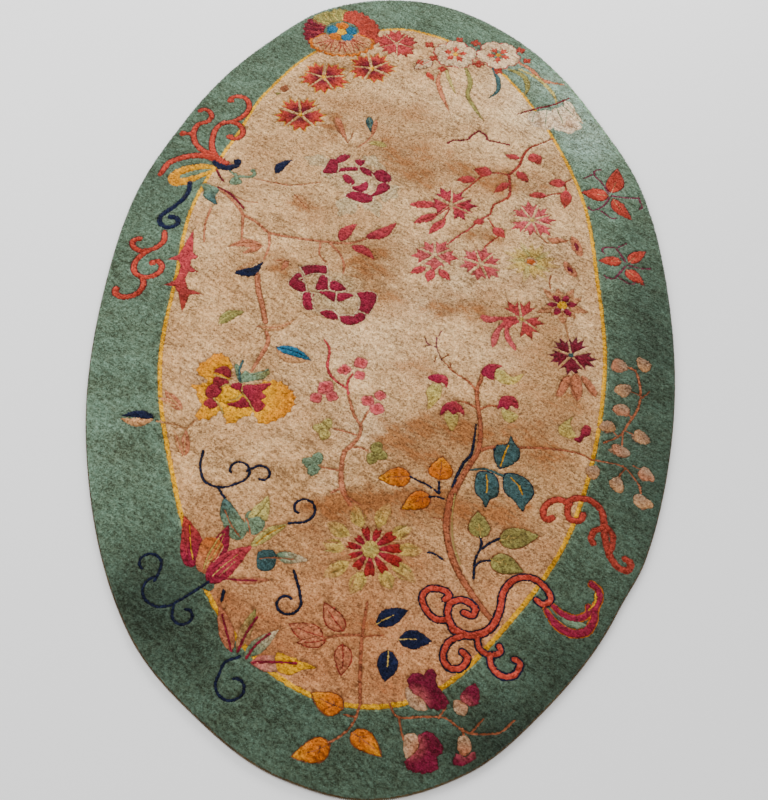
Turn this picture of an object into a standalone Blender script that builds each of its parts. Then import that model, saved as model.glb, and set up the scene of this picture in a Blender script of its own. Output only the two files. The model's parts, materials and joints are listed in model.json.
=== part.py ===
"""Oval hand-knotted pile rug: one knotted slab and the overcast cord sewn round its foundation.

Metres, +Z up. The origin is on the floor under the middle of the rug, +Y runs along its length.
"""

import math

import bmesh
import bpy

# Driving dimensions of the oval.
RUG_LENGTH = 2.134  # end to end, over the overcast edge
RUG_WIDTH = 1.220
BORDER_WIDTH = 0.147  # from the edge to the middle of the yellow line
LINE_WIDTH = 0.010  # the yellow line

# Thickness of the fabric.
RUG_THICKNESS = 0.0150  # foundation and pile
CARVE_DEPTH = 0.0020  # clipped valley along each side of the yellow line
CARVE_WIDTH = 0.0035

# The overcast cord.
CORD_WIDTH = 0.0085
CORD_HEIGHT = 0.0056
CORD_ROUNDING = 0.0017
CORD_SHOWS = 0.0022  # how far it stands out past the pile
SEAT_GAP = 0.0003  # between the cord and the rug

SEGMENTS = 144  # round the oval

# How far the hand-cut edge stands out from a true ellipse.
# Columns: direction in degrees (0 is the right-hand side, 90 the far end), metres outwards.
EDGE_UNEVENNESS = (
    (0, 0.005),
    (20, 0.012),
    (38, -0.006),
    (62, -0.004),
    (90, 0.007),
    (112, 0.014),
    (130, -0.005),
    (152, -0.004),
    (167, 0.005),
    (184, -0.001),
    (205, 0.003),
    (230, 0.008),
    (247, -0.006),
    (260, -0.003),
    (274, 0.005),
    (288, 0.002),
    (302, -0.006),
    (318, -0.001),
    (326, 0.008),
    (342, 0.006),
)
# The same for the middle of the yellow line.
LINE_UNEVENNESS = (
    (5, -0.005),
    (20, 0.003),
    (38, -0.003),
    (60, 0.000),
    (80, 0.004),
    (94, 0.016),
    (120, 0.016),
    (138, 0.009),
    (150, -0.003),
    (168, 0.010),
    (182, -0.003),
    (195, 0.004),
    (216, -0.009),
    (240, 0.000),
    (262, 0.001),
    (284, 0.005),
    (303, -0.008),
    (325, 0.005),
    (348, 0.004),
)

# How the pile's height rises and falls over the rug.
# Columns: radians a metre across, radians a metre along, metres up or down.
PILE_WAVES = (
    (9.0, -2.5, 0.0002),
    (3.5, 7.0, 0.0002),
    (5.0, 11.0, 0.0002),
)

# The rim of the rug, from under the foundation round to the top of the pile.
# Columns: metres in from the edge, metres above the floor.
CORD_SEAT = CORD_WIDTH + SEAT_GAP
PILE_FOOT = CORD_HEIGHT + SEAT_GAP
RIM_PROFILE = (
    (CORD_SEAT, 0.0),
    (CORD_SEAT, PILE_FOOT),
    (CORD_SHOWS + 0.0022, PILE_FOOT + 0.0004),
    (CORD_SHOWS, 0.0086),
    (CORD_SHOWS + 0.0010, 0.0114),
    (CORD_SHOWS + 0.0042, 0.0134),
    (CORD_SHOWS + 0.0100, 0.0143),
)
RIM_END = 0.030  # in from the edge, where the pile reaches its full height

MATERIALS = {
    "jade_pile": (0.150, 0.225, 0.165),
    "overcast_wool": (0.060, 0.058, 0.042),
}
WOOL_ROUGHNESS = 0.95


def unevenness(table, angle):
    """The table's value at an angle, eased from one row to the next."""
    turn = math.degrees(angle) % 360
    turn += 360 if turn < table[0][0] else 0
    for (start, low), (end, high) in zip(table, table[1:] + ((table[0][0] + 360, table[0][1]),)):
        if turn < end:
            share = (turn - start) / (end - start)
            return low + (high - low) * (1 - math.cos(math.pi * share)) / 2
    return table[0][1]


def oval_point(half_width, half_length, angle, outwards):
    """A point on an ellipse, moved outwards along the ellipse's normal."""
    normal_x = half_length * math.cos(angle)
    normal_y = half_width * math.sin(angle)
    size = math.hypot(normal_x, normal_y)
    x = half_width * math.cos(angle) + outwards * normal_x / size
    y = half_length * math.sin(angle) + outwards * normal_y / size
    return x, y


def edge_point(angle, inset):
    """A point this far inside the rug's outer edge."""
    outwards = unevenness(EDGE_UNEVENNESS, angle) - inset
    return oval_point(RUG_WIDTH / 2, RUG_LENGTH / 2, angle, outwards)


def line_point(angle, outwards):
    """A point this far outside the middle of the yellow line."""
    half_width = RUG_WIDTH / 2 - BORDER_WIDTH
    half_length = RUG_LENGTH / 2 - BORDER_WIDTH
    return oval_point(half_width, half_length, angle, outwards + unevenness(LINE_UNEVENNESS, angle))


def pile_top(x, y):
    """Height of the pile's top."""
    return RUG_THICKNESS + sum(rise * math.sin(across * x + along * y) for across, along, rise in PILE_WAVES)


def ring(bm, place):
    """One closed ring of points, place(angle) giving each."""
    return [bm.verts.new(place(2 * math.pi * k / SEGMENTS)) for k in range(SEGMENTS)]


def join_rings(bm, lower, upper):
    """A strip of faces from one ring to the next."""
    for k in range(SEGMENTS):
        following = (k + 1) % SEGMENTS
        bm.faces.new((lower[k], lower[following], upper[following], upper[k]))


def edge_ring(bm, inset, height):
    """A level ring this far inside the outer edge."""
    return ring(bm, lambda angle: (*edge_point(angle, inset), height))


def border_ring(bm, share):
    """A ring on the border's pile, share of the way from the rolled rim to the carved valley."""

    def place(angle):
        outer_x, outer_y = edge_point(angle, RIM_END)
        inner_x, inner_y = line_point(angle, LINE_WIDTH / 2 + CARVE_WIDTH)
        x = outer_x + (inner_x - outer_x) * share
        y = outer_y + (inner_y - outer_y) * share
        return x, y, pile_top(x, y)

    return ring(bm, place)


def carved_ring(bm, outwards, depth):
    """A ring beside the yellow line, cut this deep into the pile."""

    def place(angle):
        x, y = line_point(angle, outwards)
        return x, y, pile_top(x, y) - depth

    return ring(bm, place)


def field_ring(bm, share):
    """A ring on the field's pile, share of the way from the middle of the rug to the line."""

    def place(angle):
        x, y = (share * value for value in line_point(angle, 0))
        return x, y, pile_top(x, y)

    return ring(bm, place)


def finished(name, bm, material):
    """Makes the bmesh an object of the scene, facing outwards and shaded smooth."""
    bmesh.ops.recalc_face_normals(bm, faces=bm.faces)
    mesh = bpy.data.meshes.new(name)
    bm.to_mesh(mesh)
    bm.free()
    mesh.shade_smooth()
    mesh.set_sharp_from_angle(angle=math.radians(50))
    mesh.materials.append(material)
    bpy.context.scene.collection.objects.link(bpy.data.objects.new(name, mesh))


def wool(name):
    """A matt material in the piece's colour."""
    material = bpy.data.materials.new(name)
    material.use_nodes = True
    shader = material.node_tree.nodes["Principled BSDF"]
    shader.inputs["Base Color"].default_value = (*MATERIALS[name], 1)
    shader.inputs["Roughness"].default_value = WOOL_ROUGHNESS
    return material


def knotted_rug():
    """Foundation and pile in one solid, with the clipped valleys beside the yellow line."""
    bm = bmesh.new()
    half_line = LINE_WIDTH / 2
    rings = [edge_ring(bm, inset, height) for inset, height in RIM_PROFILE]
    rings += [border_ring(bm, share) for share in (0.0, 0.5, 1.0)]
    rings += [
        carved_ring(bm, half_line + CARVE_WIDTH / 2, CARVE_DEPTH),
        carved_ring(bm, half_line, CARVE_DEPTH / 3),
        carved_ring(bm, -half_line, CARVE_DEPTH / 3),
        carved_ring(bm, -half_line - CARVE_WIDTH / 2, CARVE_DEPTH),
        carved_ring(bm, -half_line - CARVE_WIDTH, 0.0),
    ]
    rings += [field_ring(bm, share) for share in (0.75, 0.50, 0.25)]
    for lower, upper in zip(rings, rings[1:]):
        join_rings(bm, lower, upper)
    middle = bm.verts.new((0, 0, pile_top(0, 0)))
    innermost = rings[-1]
    for k in range(SEGMENTS):
        bm.faces.new((innermost[k], innermost[(k + 1) % SEGMENTS], middle))
    bm.faces.new(rings[0])
    finished("knotted_rug", bm, wool("jade_pile"))


def edge_overcasting():
    """The wrapped cord that binds the foundation's edge, seated under the pile."""
    bm = bmesh.new()
    section = (
        (CORD_WIDTH - CORD_ROUNDING / 3, 0.0),
        (CORD_ROUNDING, 0.0),
        (0.0, CORD_ROUNDING),
        (0.0, CORD_HEIGHT - CORD_ROUNDING),
        (CORD_ROUNDING, CORD_HEIGHT),
        (CORD_WIDTH - CORD_ROUNDING, CORD_HEIGHT),
        (CORD_WIDTH, CORD_HEIGHT - CORD_ROUNDING),
        (CORD_WIDTH, CORD_ROUNDING / 3),
    )
    rings = [edge_ring(bm, inset, height) for inset, height in section]
    for lower, upper in zip(rings, rings[1:] + rings[:1]):
        join_rings(bm, lower, upper)
    finished("edge_overcasting", bm, wool("overcast_wool"))


def main():
    for left_over in list(bpy.data.objects):
        bpy.data.objects.remove(left_over)
    knotted_rug()
    edge_overcasting()


main()
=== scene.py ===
import json
import math
import bpy
import numpy as np
from mathutils import Matrix, Vector, kdtree, noise
from mathutils.geometry import delaunay_2d_cdt

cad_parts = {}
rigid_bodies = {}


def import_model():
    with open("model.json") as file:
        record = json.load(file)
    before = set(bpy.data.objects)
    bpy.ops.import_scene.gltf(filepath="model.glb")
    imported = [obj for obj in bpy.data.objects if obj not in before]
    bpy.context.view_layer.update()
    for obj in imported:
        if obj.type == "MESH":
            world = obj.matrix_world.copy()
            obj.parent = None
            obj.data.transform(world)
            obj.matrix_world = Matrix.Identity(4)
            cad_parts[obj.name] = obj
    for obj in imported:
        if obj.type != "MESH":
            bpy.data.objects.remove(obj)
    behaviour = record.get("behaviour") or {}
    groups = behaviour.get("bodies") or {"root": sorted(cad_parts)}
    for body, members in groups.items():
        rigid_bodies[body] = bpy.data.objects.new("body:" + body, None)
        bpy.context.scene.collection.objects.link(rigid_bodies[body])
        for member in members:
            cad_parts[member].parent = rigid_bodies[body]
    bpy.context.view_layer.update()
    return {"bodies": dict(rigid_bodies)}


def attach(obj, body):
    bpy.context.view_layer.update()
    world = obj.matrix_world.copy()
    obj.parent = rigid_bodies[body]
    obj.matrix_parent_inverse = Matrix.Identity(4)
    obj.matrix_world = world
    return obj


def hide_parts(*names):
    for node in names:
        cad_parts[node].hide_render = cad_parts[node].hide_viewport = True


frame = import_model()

rugBody = list(frame["bodies"])[0]
seed = 54
dice = np.random.default_rng(seed)

# the oval itself, in metres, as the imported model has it
rugSizes = {
    "width": 1.220,
    "length": 2.134,
    "border": 0.147,  # edge to the middle of the yellow line
    "line": 0.0084,
    "thick": 0.0150,
    "rimEnd": 0.030,  # where the pile reaches its full height
    "rimRings": ((0.0088, 0.0001), (0.0088, 0.0059), (0.0044, 0.0063), (0.0022, 0.0086),
                 (0.0032, 0.0114), (0.0064, 0.0134), (0.0122, 0.0143)),  # inset, height
    "waves": ((9.0, -2.5, 0.0002), (3.5, 7.0, 0.0002), (5.0, 11.0, 0.0002)),
    "carve": 0.0022,  # how far the clipped valleys go below the skin under the tufts
    "tuftRoom": 0.0021,  # the skin lies this far under the pile's top
    "carveReach": 2.3,  # mm from a valley to its shoulder
    "outlineStep": 3.7,  # mm between points of an outline
    "fillStep": 8.0,  # mm between points in open pile
    "sown": (625, 1090),  # mm each way from the middle that open pile is laid out, before the rim cuts it
    "round": 760,  # points round the rim
    "lumps": 0.00032,
    "uneven": 0.00012,
    "mapFrom": (0.63, 1.10),  # from the map's corner to the middle, for both sides
    "mapSize": (1.28, 2.2),
}
# degrees and millimetres out from a true oval
edgeDrift = (
    (0, 5), (20, 12), (38, -6), (62, -4), (90, 7), (112, 14), (130, -5), (152, -4), (167, 5), (184, -1),
    (205, 3), (230, 8), (247, -6), (260, -3), (274, 5), (288, 2), (302, -6), (318, -1), (326, 8), (342, 6),
)
lineDrift = (
    (5, -5), (20, 3), (38, -3), (60, 0), (80, 4), (94, 16), (120, 16), (138, 9), (150, -3), (168, 10),
    (182, -3), (195, 4), (216, -9), (240, 0), (262, 1), (284, 5), (303, -8), (325, 5), (348, 4),
)

# wool dyes as the eye reads them, red green blue
dyes = {
    "sage": (109, 132, 108), "cream": (231, 187, 133), "gold": (250, 186, 16), "shell": (208, 166, 128),
    "poppy": (208, 76, 56), "ember": (174, 64, 48), "crimson": (162, 34, 64), "maroon": (128, 26, 46),
    "rose": (206, 72, 78), "blush": (226, 114, 112), "navy": (22, 30, 62), "blue": (48, 120, 152),
    "teal": (66, 98, 98), "mist": (128, 152, 120), "olive": (156, 146, 78), "lime": (208, 190, 108),
    "orange": (226, 124, 22), "salmon": (210, 132, 92), "tan": (218, 160, 106), "brown": (168, 100, 62),
    "bark": (190, 110, 72), "ivory": (242, 208, 164), "milk": (250, 228, 194), "pale": (216, 188, 142),
    "husk": (180, 142, 110), "scarlet": (170, 40, 34), "butter": (222, 188, 96), "plum": (128, 54, 78),
    "magenta": (132, 24, 56), "jute": (120, 96, 58),
}
# every dye is darkened by this share: the dyes' own depth, along with painted shade of the pile on itself
dyeDepthAndSelfShade = 0.785


def woolColour(name):
    # linear light
    value = np.array(dyes[name], float) / 255
    return dyeDepthAndSelfShade * np.where(value <= 0.04045, value / 12.92, ((value + 0.055) / 1.055) ** 2.4)


def drift(table, degrees):
    # how far out a ring lies at this bearing, eased from one row of its table to the next
    turn = degrees % 360
    turn += 360 if turn < table[0][0] else 0
    for (start, low), (end, high) in zip(table, table[1:] + ((table[0][0] + 360, table[0][1]),)):
        if turn < end:
            return low + (high - low) * (1 - math.cos(math.pi * (turn - start) / (end - start))) / 2
    return table[0][1]


def ovalRing(inset, table, outwards, count):
    # a ring of points in mm on a drifting oval, moved outwards along its normal
    halfWide, halfLong = rugSizes["width"] * 500 - inset, rugSizes["length"] * 500 - inset
    ring = []
    for turn in np.linspace(0, 2 * math.pi, count, endpoint=False):
        out = outwards + drift(table, math.degrees(turn))
        nx, ny = halfLong * math.cos(turn), halfWide * math.sin(turn)
        size = math.hypot(nx, ny)
        ring.append((halfWide * math.cos(turn) + out * nx / size,
                     halfLong * math.sin(turn) + out * ny / size))
    return np.array(ring)


def edgeRing(inset, count):
    return ovalRing(0, edgeDrift, -inset, count)


def lineRing(outwards, count=900):
    return ovalRing(rugSizes["border"] * 1000, lineDrift, outwards, count)


# the drawing on the pile is a list of patches in mm, where later ones lie over earlier ones
patches = []


def add(outline, dye, layer=5, into=None, hub=(0, 0), reach=(0, 60), carve=True, bare=False):
    # the dye runs into a second one between two distances from the hub; bare shows the border's wool
    patches.append({"outline": np.asarray(outline, float), "dye": woolColour(dye), "layer": layer,
                    "into": woolColour(into or dye), "hub": np.array(hub, float), "reach": reach,
                    "carve": carve, "bare": bare})


def polar(centre, radius, degrees):
    turn = np.radians(degrees)
    return np.stack([centre[0] + radius * np.cos(turn), centre[1] + radius * np.sin(turn)], -1)


def eased(points, step=3.0, closed=False):
    # a smooth line through a few points
    at = np.asarray(points, float)
    if closed:
        ends = np.concatenate([at[-1:], at, at[:2]])
    else:
        ends = np.concatenate([[2 * at[0] - at[1]], at, [2 * at[-1] - at[-2]]])
    line = []
    for a, b, c, d in zip(ends, ends[1:], ends[2:], ends[3:]):
        count = max(2, int(np.linalg.norm(c - b) / step))
        t = np.linspace(0, 1, count, endpoint=False)[:, None]
        square, cube = 2 * a - 5 * b + 4 * c - d, 3 * b - a - 3 * c + d
        line.append(((2 * b) + (c - a) * t + square * t ** 2 + cube * t ** 3) / 2)
    if not closed:
        line.append(at[-1:])
    return np.concatenate(line)


def curled(path, radius, degrees, tighten=0.45, step=2.4):
    # goes on from the end of a path in a tightening arc, to the left where degrees is positive
    ahead = path[-1] - path[-2]
    heading, place = math.atan2(ahead[1], ahead[0]), path[-1]
    total, turned, more = abs(math.radians(degrees)), 0.0, []
    while turned < total:
        bend = step / (radius * (1 - (1 - tighten) * turned / total))
        heading += math.copysign(bend, degrees)
        turned += bend
        place = place + step * np.array([math.cos(heading), math.sin(heading)])
        more.append(place)
    return np.concatenate([path, more])


def band(path, width):
    # the outline of a stroke with round ends; width is a number, or several along it
    path = np.asarray(path, float)
    along = np.concatenate([[0], np.cumsum(np.linalg.norm(np.diff(path, axis=0), axis=1))])
    width = np.atleast_1d(np.asarray(width, float))
    half = np.interp(along / along[-1], np.linspace(0, 1, len(width)), width)[:, None] / 2
    ahead = np.gradient(path, axis=0)
    ahead /= np.maximum(np.linalg.norm(ahead, axis=1, keepdims=True), 1e-9)
    side = np.stack([-ahead[:, 1], ahead[:, 0]], 1)
    caps = []
    for end, way in ((-1, 1), (0, -1)):
        turns = np.radians([55, 0, -55] if half[end] > 3 else [0]) * way
        caps.append([path[end] + half[end] * (way * ahead[end] * math.cos(t) + side[end] * math.sin(t) * way)
                     for t in turns])
    return np.concatenate([path + side * half, caps[0], (path - side * half)[::-1], caps[1]])


def vine(points, width, dye, layer=5, curl=None, knob=0, edge=None, edgeWidth=4.0, **more):
    # a stroke through a few points, which may end in a curl and a knob and have a dark edge under it
    path = eased(points)
    if curl:
        path = curled(path, *curl)
    if edge:
        add(band(path, np.asarray(width) + 2 * edgeWidth), edge, layer - 1)
    add(band(path, width), dye, layer, **more)
    if knob:
        add(polar(path[-1], knob, np.arange(0, 360, 36)), dye, layer, **more)


def placed(outline, degrees, centre):
    # an outline drawn round nought, turned and moved
    c, s = math.cos(math.radians(degrees)), math.sin(math.radians(degrees))
    return outline @ np.array([[c, s], [-s, c]]) + np.asarray(centre, float)


def blot(centre, across, along, turn=0, lobes=0, wave=0.0, dye="rose", layer=5, **more):
    # an oval, or a wavy one with lobes
    t = np.linspace(0, 360, max(10, int((across + along) * 0.9) + 4 * lobes), endpoint=False)
    size = 1 + wave * np.cos(np.radians(lobes * t + 40))
    oval = np.stack([across / 2 * size * np.cos(np.radians(t)), along / 2 * size * np.sin(np.radians(t))], 1)
    add(placed(oval, turn, centre), dye, layer, **more)


def leafShape(base, tip, width, bend=0.0, blunt=0.72, grow=0.0):
    # two sides that meet in a point; bend bows the leaf to its left, blunt sets where it is widest
    base, tip = np.asarray(base, float), np.asarray(tip, float)
    ahead = tip - base
    size = np.linalg.norm(ahead)
    ahead /= size
    side = np.array([-ahead[1], ahead[0]])
    base, size = base - grow * ahead, size + 2.6 * grow
    t = np.linspace(0, 1, max(6, int(size / 4)))[:, None]
    half = (width / 2 + grow) * np.sin(np.pi * t ** blunt) ** 0.9
    spine = base + ahead * size * t + side * bend * size * np.sin(np.pi * t)
    return np.concatenate([spine + side * half, (spine - side * half)[::-1][1:-1]]), spine


def leaf(base, tip, width, dye, vein=None, bend=0.0, sides=0, edge=None, edgeWidth=3.0, blunt=0.72, layer=5,
         veinWidth=3.0, veinEnd=0.85, **more):
    if edge:
        add(leafShape(base, tip, width, bend, blunt, edgeWidth)[0], edge, layer - 1)
    outline, spine = leafShape(base, tip, width, bend, blunt)
    add(outline, dye, layer, **more)
    if vein:
        upTo = max(3, int(len(spine) * veinEnd))
        add(band(spine[:upTo], (veinWidth, veinWidth * 0.8)), vein, layer + 1, carve=False)
        ahead = spine[-1] - spine[0]
        heading = math.degrees(math.atan2(ahead[1], ahead[0]))
        for n in range(sides):
            root = spine[int(len(spine) * (0.22 + 0.5 * n / sides))]
            for way in (-1, 1):
                end = polar(root, width * (0.34 - 0.05 * n), heading + 42 * way)
                side = np.array([root, (root + end) / 2, end])
                add(band(side, veinWidth * 0.75), vein, layer + 1, carve=False)


def fan(centre, degrees, reach, spread, teeth=3, depth=0.2, gap=4.0, droop=0.16, root=0.0):
    # a petal with a toothed edge, whose sides keep an even gap to the next one
    def halfAt(far):
        return max(1.5, spread / 2 - math.degrees(math.asin(min(0.95, gap / 2 / far))))

    start = max(gap / 2 / math.sin(math.radians(spread / 2)) + 1.0, reach * root)
    rim = []
    for k in range(2 * teeth - 1):
        share = k / (2 * teeth - 2) if teeth > 1 else 0.5
        out = reach * (1 - droop * abs(2 * share - 1) ** 2) * (1 if k % 2 == 0 else 1 - depth)
        rim.append((out, (2 * share - 1) * halfAt(out)))
    low, high = [], []
    for far in (0.45, 0.7):
        at = start + (reach * 0.95 - start) * far
        low.append((at, -halfAt(at)))
        high.append((at, halfAt(at)))
    shape = [(start, 0)] + low + rim + high[::-1]
    return np.array([polar(centre, r, degrees + t) for r, t in shape])


def sectors(turns):
    # how wide each petal may be before it meets its neighbours
    order = sorted(turns)
    wide = {}
    for k, turn in enumerate(order):
        before = (turn - order[k - 1]) % 360
        after = (order[(k + 1) % len(order)] - turn) % 360
        wide[turn] = min(before, after, 86)
    return wide


def carnation(centre, reach, turns, dye="poppy", rim="gold", heart="maroon", dot="gold", gap=4.4,
              depth=0.26):
    # toothed petals, dark at the heart and edged in a second colour
    wide = sectors(turns)
    for n, turn in enumerate(turns):
        size = reach * (1 + 0.05 * math.sin(5 * n + centre[0]))
        add(fan(centre, turn, size * 1.03, wide[turn], 4, depth, gap), rim, 4)
        add(fan(centre, turn, size * 0.95, wide[turn], 4, depth, gap * 1.5), heart, 5, into=dye, hub=centre,
            reach=(size * 0.3, size * 0.68))
    if dot:
        add(polar(centre, 5.5, np.arange(0, 360, 45)), dot, 7)


def blossom(centre, reach, turns, dye, heart=None, teeth=3, depth=0.3, into=None, dot=0, dotDye="butter",
            gap=5.2):
    # a loose flower of toothed petals, deeper in colour along their middles
    wide = sectors(turns)
    for n, turn in enumerate(turns):
        size = reach * (1 + 0.09 * math.sin(4 * n + centre[1]))
        add(fan(centre, turn, size, wide[turn], teeth, depth, gap), dye, 5, into=into, hub=centre,
            reach=(reach * 0.2, reach))
        if heart:
            middle = fan(centre, turn, size * 0.62, wide[turn] * 0.34, 2, 0.3, gap * 0.7, root=0.15)
            add(middle, heart, 6, into=dye, hub=centre, reach=(size * 0.2, size * 0.66), carve=False)
    if dot:
        add(polar(centre, dot, np.arange(0, 360, 45)), dotDye, 7)


def swollen(outline, by):
    # the outline moved outwards by so many millimetres
    ahead = np.roll(outline, -1, axis=0) - np.roll(outline, 1, axis=0)
    far = np.linalg.norm(ahead, axis=1, keepdims=True)
    out = np.stack([ahead[:, 1], -ahead[:, 0]], 1) / np.maximum(far, 1e-9)
    turn = np.sum(outline[:, 0] * np.roll(outline[:, 1], -1) - outline[:, 1] * np.roll(outline[:, 0], -1))
    return outline + out * by * math.copysign(1, turn)


def grown(points, by):
    # every point moved away from their middle
    middle = np.mean(points, axis=0)
    return middle + (np.array(points) - middle) * by


def ruffled(points, step, share, pace):
    # a closed line through a few points, with an uneven edge
    rim = eased(points, step, True)
    return rim + (rim - rim.mean(0)) * (share * np.cos(np.arange(len(rim)) * pace))[:, None]


def shape(points, dye, layer=5, step=4.0, **more):
    # a closed shape with soft corners
    add(eased(points, step, closed=True), dye, layer, **more)


def lobe(centre, across, deep, turn, dye, bumps=3, hollow=0.3, layer=5, wave=0.1, **more):
    # a petal lump with a scalloped outer edge and a hollow inner one; turn is the way it faces
    t = np.linspace(-1, 1, 6 * bumps + 1)
    scallops = np.abs(np.cos(bumps * np.pi * t / 2))
    outer = deep * ((0.5 - wave) * (1 - np.abs(t) ** 2.6) ** 0.55 + wave * scallops)
    u = np.linspace(1, -1, max(4, int(across / 6)))[1:-1]
    inner = -deep * (0.5 - hollow * (1 - u ** 2))
    lump = np.concatenate([np.stack([across / 2 * t, outer], 1), np.stack([across / 2 * u * 0.8, inner], 1)])
    add(placed(lump, turn - 90, centre), dye, layer, **more)


def trefoil(centre, stem, size, dye):
    # three round leaflets at the end of a stem
    ahead = np.asarray(centre, float) - np.asarray(stem, float)
    heading = math.degrees(math.atan2(ahead[1], ahead[0]))
    for way in (-88, 0, 88):
        at = polar(centre, size * 0.95, heading + way)
        blot(at, size * 2.1, size * 1.75, heading + way, 3, 0.07, dye)


def lily(base, tip, width, bend=0.0, dye="crimson", into="rose"):
    # a broad petal with three fine lines along it
    leaf(base, tip, width, dye, bend=bend, blunt=0.64, into=into, hub=base, reach=(10, 100))
    spine = leafShape(base, tip, width, bend, 0.64)[1]
    ahead = spine[-1] - spine[0]
    side = np.array([-ahead[1], ahead[0]]) / np.linalg.norm(ahead)
    for way, start, stop, line in ((0, 0.14, 0.8, "butter"), (-0.2, 0.2, 0.62, "tan"),
                                   (0.2, 0.24, 0.66, "maroon")):
        part = spine[int(len(spine) * start):int(len(spine) * stop)] + side * width * way
        add(band(part, (2.2, 1.6)), line, 6, carve=False)


# grounds: border, yellow line, field
# a pale ring just outside the yellow line: a painted highlight, the lit side of the valley beside the line
add(lineRing(rugSizes["line"] * 500 + 3.6), "mist", 1, carve=False)
add(lineRing(rugSizes["line"] * 500), "gold", 1)
add(lineRing(-rugSizes["line"] * 500), "cream", 2, carve=False)


def drawFarEnd():
    # a large peony and two pale blossoms with red buds and long leaves
    hub = (-184, 902)
    for turn, across, dye in ((205, 84, "maroon"), (168, 84, "maroon"), (132, 70, "olive"),
            (98, 64, "olive"), (62, 82, "poppy"), (24, 84, "poppy"), (346, 62, "poppy")):
        lobe(polar(hub, 72, turn), across, 66, turn, dye, 4, 0.12, into="ember" if dye == "poppy" else None,
            hub=hub, reach=(30, 110))
        for way in (-13, 0, 13) if dye == "maroon" else (-6, 8):
            ray = [polar(hub, 50, turn + way), polar(hub, 74, turn + way * 1.3 + 4),
                polar(hub, 94, turn + way * 1.2)]
            add(band(ray, (3.4, 2)), {"maroon": "rose", "olive": "butter"}.get(dye, "ember"), 6, carve=False)
    for turn, across in ((312, 84), (276, 92), (240, 84)):
        lobe(polar(hub, 68, turn), across + 14, 82, turn, "orange", 4, 0.1, 5)
        lobe(polar(hub, 64, turn), across, 70, turn, "salmon", 4, 0.1, 6, into="tan", hub=hub,
            reach=(30, 90))
        for way in (-11, -4, 4, 11):
            add(band(polar(hub, np.linspace(44, 88, 6), turn + way * np.linspace(0.6, 1.4, 6)), 2.8),
                "ember", 7, carve=False)
    for turn in range(20, 360, 72):
        lobe(polar(hub, 26, turn), 36, 32, turn, "blue" if turn % 144 == 20 else "orange", 2, 0.1, 8)
    blot(hub, 26, 26, 0, 5, 0.12, "gold", 9)
    blossom((-35, 873), 62, (98, 22, 308, 240, 172), "rose", "ember", 4, 0.24, into="ember", gap=3)
    for centre, size, start in (((122, 846), 62, 15), ((236, 858), 62, 50)):
        for k in range(5):
            turn = start + 72 * k
            lobe(polar(centre, size * 0.58, turn), size * 0.98, size * 0.8, turn, "rose", 3, 0.1, 5)
            lobe(polar(centre, size * 0.57, turn), size * 0.88, size * 0.72, turn, "ivory", 3, 0.1, 6)
            add(fan(centre, turn, size * 0.6, 50, 3, 0.3, 4), "poppy", 7)
        blot(centre, 13, 13, 0, 0, 0, "gold", 8)
    # small red buds scattered round them
    for x, y, size in ((52, 878, 13), (66, 822, 12), (176, 902, 13), (184, 812, 14), (296, 886, 12),
            (312, 842, 11), (132, 912, 10), (90, 780, 12), (236, 790, 12), (30, 800, 10)):
        for k in range(4):
            blot(polar((x, y), size * 0.62, x + 90 * k), size, size * 0.9, x + 90 * k, 0, 0, "poppy", 8,
                into="ember", hub=(x, y), reach=(0, size))
    leaf((60, 812), (18, 770), 34, "ivory", "poppy", edge="maroon", edgeWidth=2.2)
    leaf((50, 760), (70, 728), 17, "poppy")
    for points, width, dye in ((((88, 778), (80, 730), (88, 688), (112, 612)), (6, 12, 12, 3), "salmon"),
            (((98, 790), (108, 742), (126, 684)), (5, 10, 3), "lime"), (((150, 792), (164, 735), (158, 682),
            (176, 632), (200, 585)), (8, 14, 11, 10, 3), "olive"), (((222, 800), (236, 748), (234, 706),
            (212, 676)), (7, 13, 11, 3), "teal"), (((262, 802), (300, 778), (312, 738), (304, 696)),
            (8, 16, 14, 3), "olive"), (((276, 842), (322, 806), (352, 766), (418, 752)), (6, 12, 11, 3),
            "salmon"), (((290, 806), (338, 772), (376, 716), (386, 672)), (5, 10, 10, 3), "lime")):
        vine(points, width, dye, 4)
    # a pale bud spray on a dark stem over the border
    vine(((286, 622), (330, 648), (372, 668), (418, 702)), (4, 6, 4), "maroon", 6)
    for x, y, across, along in ((352, 606, 76, 66), (408, 600, 74, 70), (396, 640, 60, 44)):
        blot((x, y), across, along, x, 6, 0.1, "shell", 4, into="milk", hub=(x, y), reach=(0, 40),
            carve=False)
    for base, tip, width in (((330, 640), (318, 582), 30), ((360, 650), (352, 566), 40), ((384, 660),
            (402, 588), 34), ((398, 672), (450, 606), 28), ((405, 690), (432, 652), 20)):
        leaf(base, tip, width, "milk", "mist", layer=5, into="ivory", hub=base, reach=(10, 90),
            veinWidth=2.4)


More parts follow.
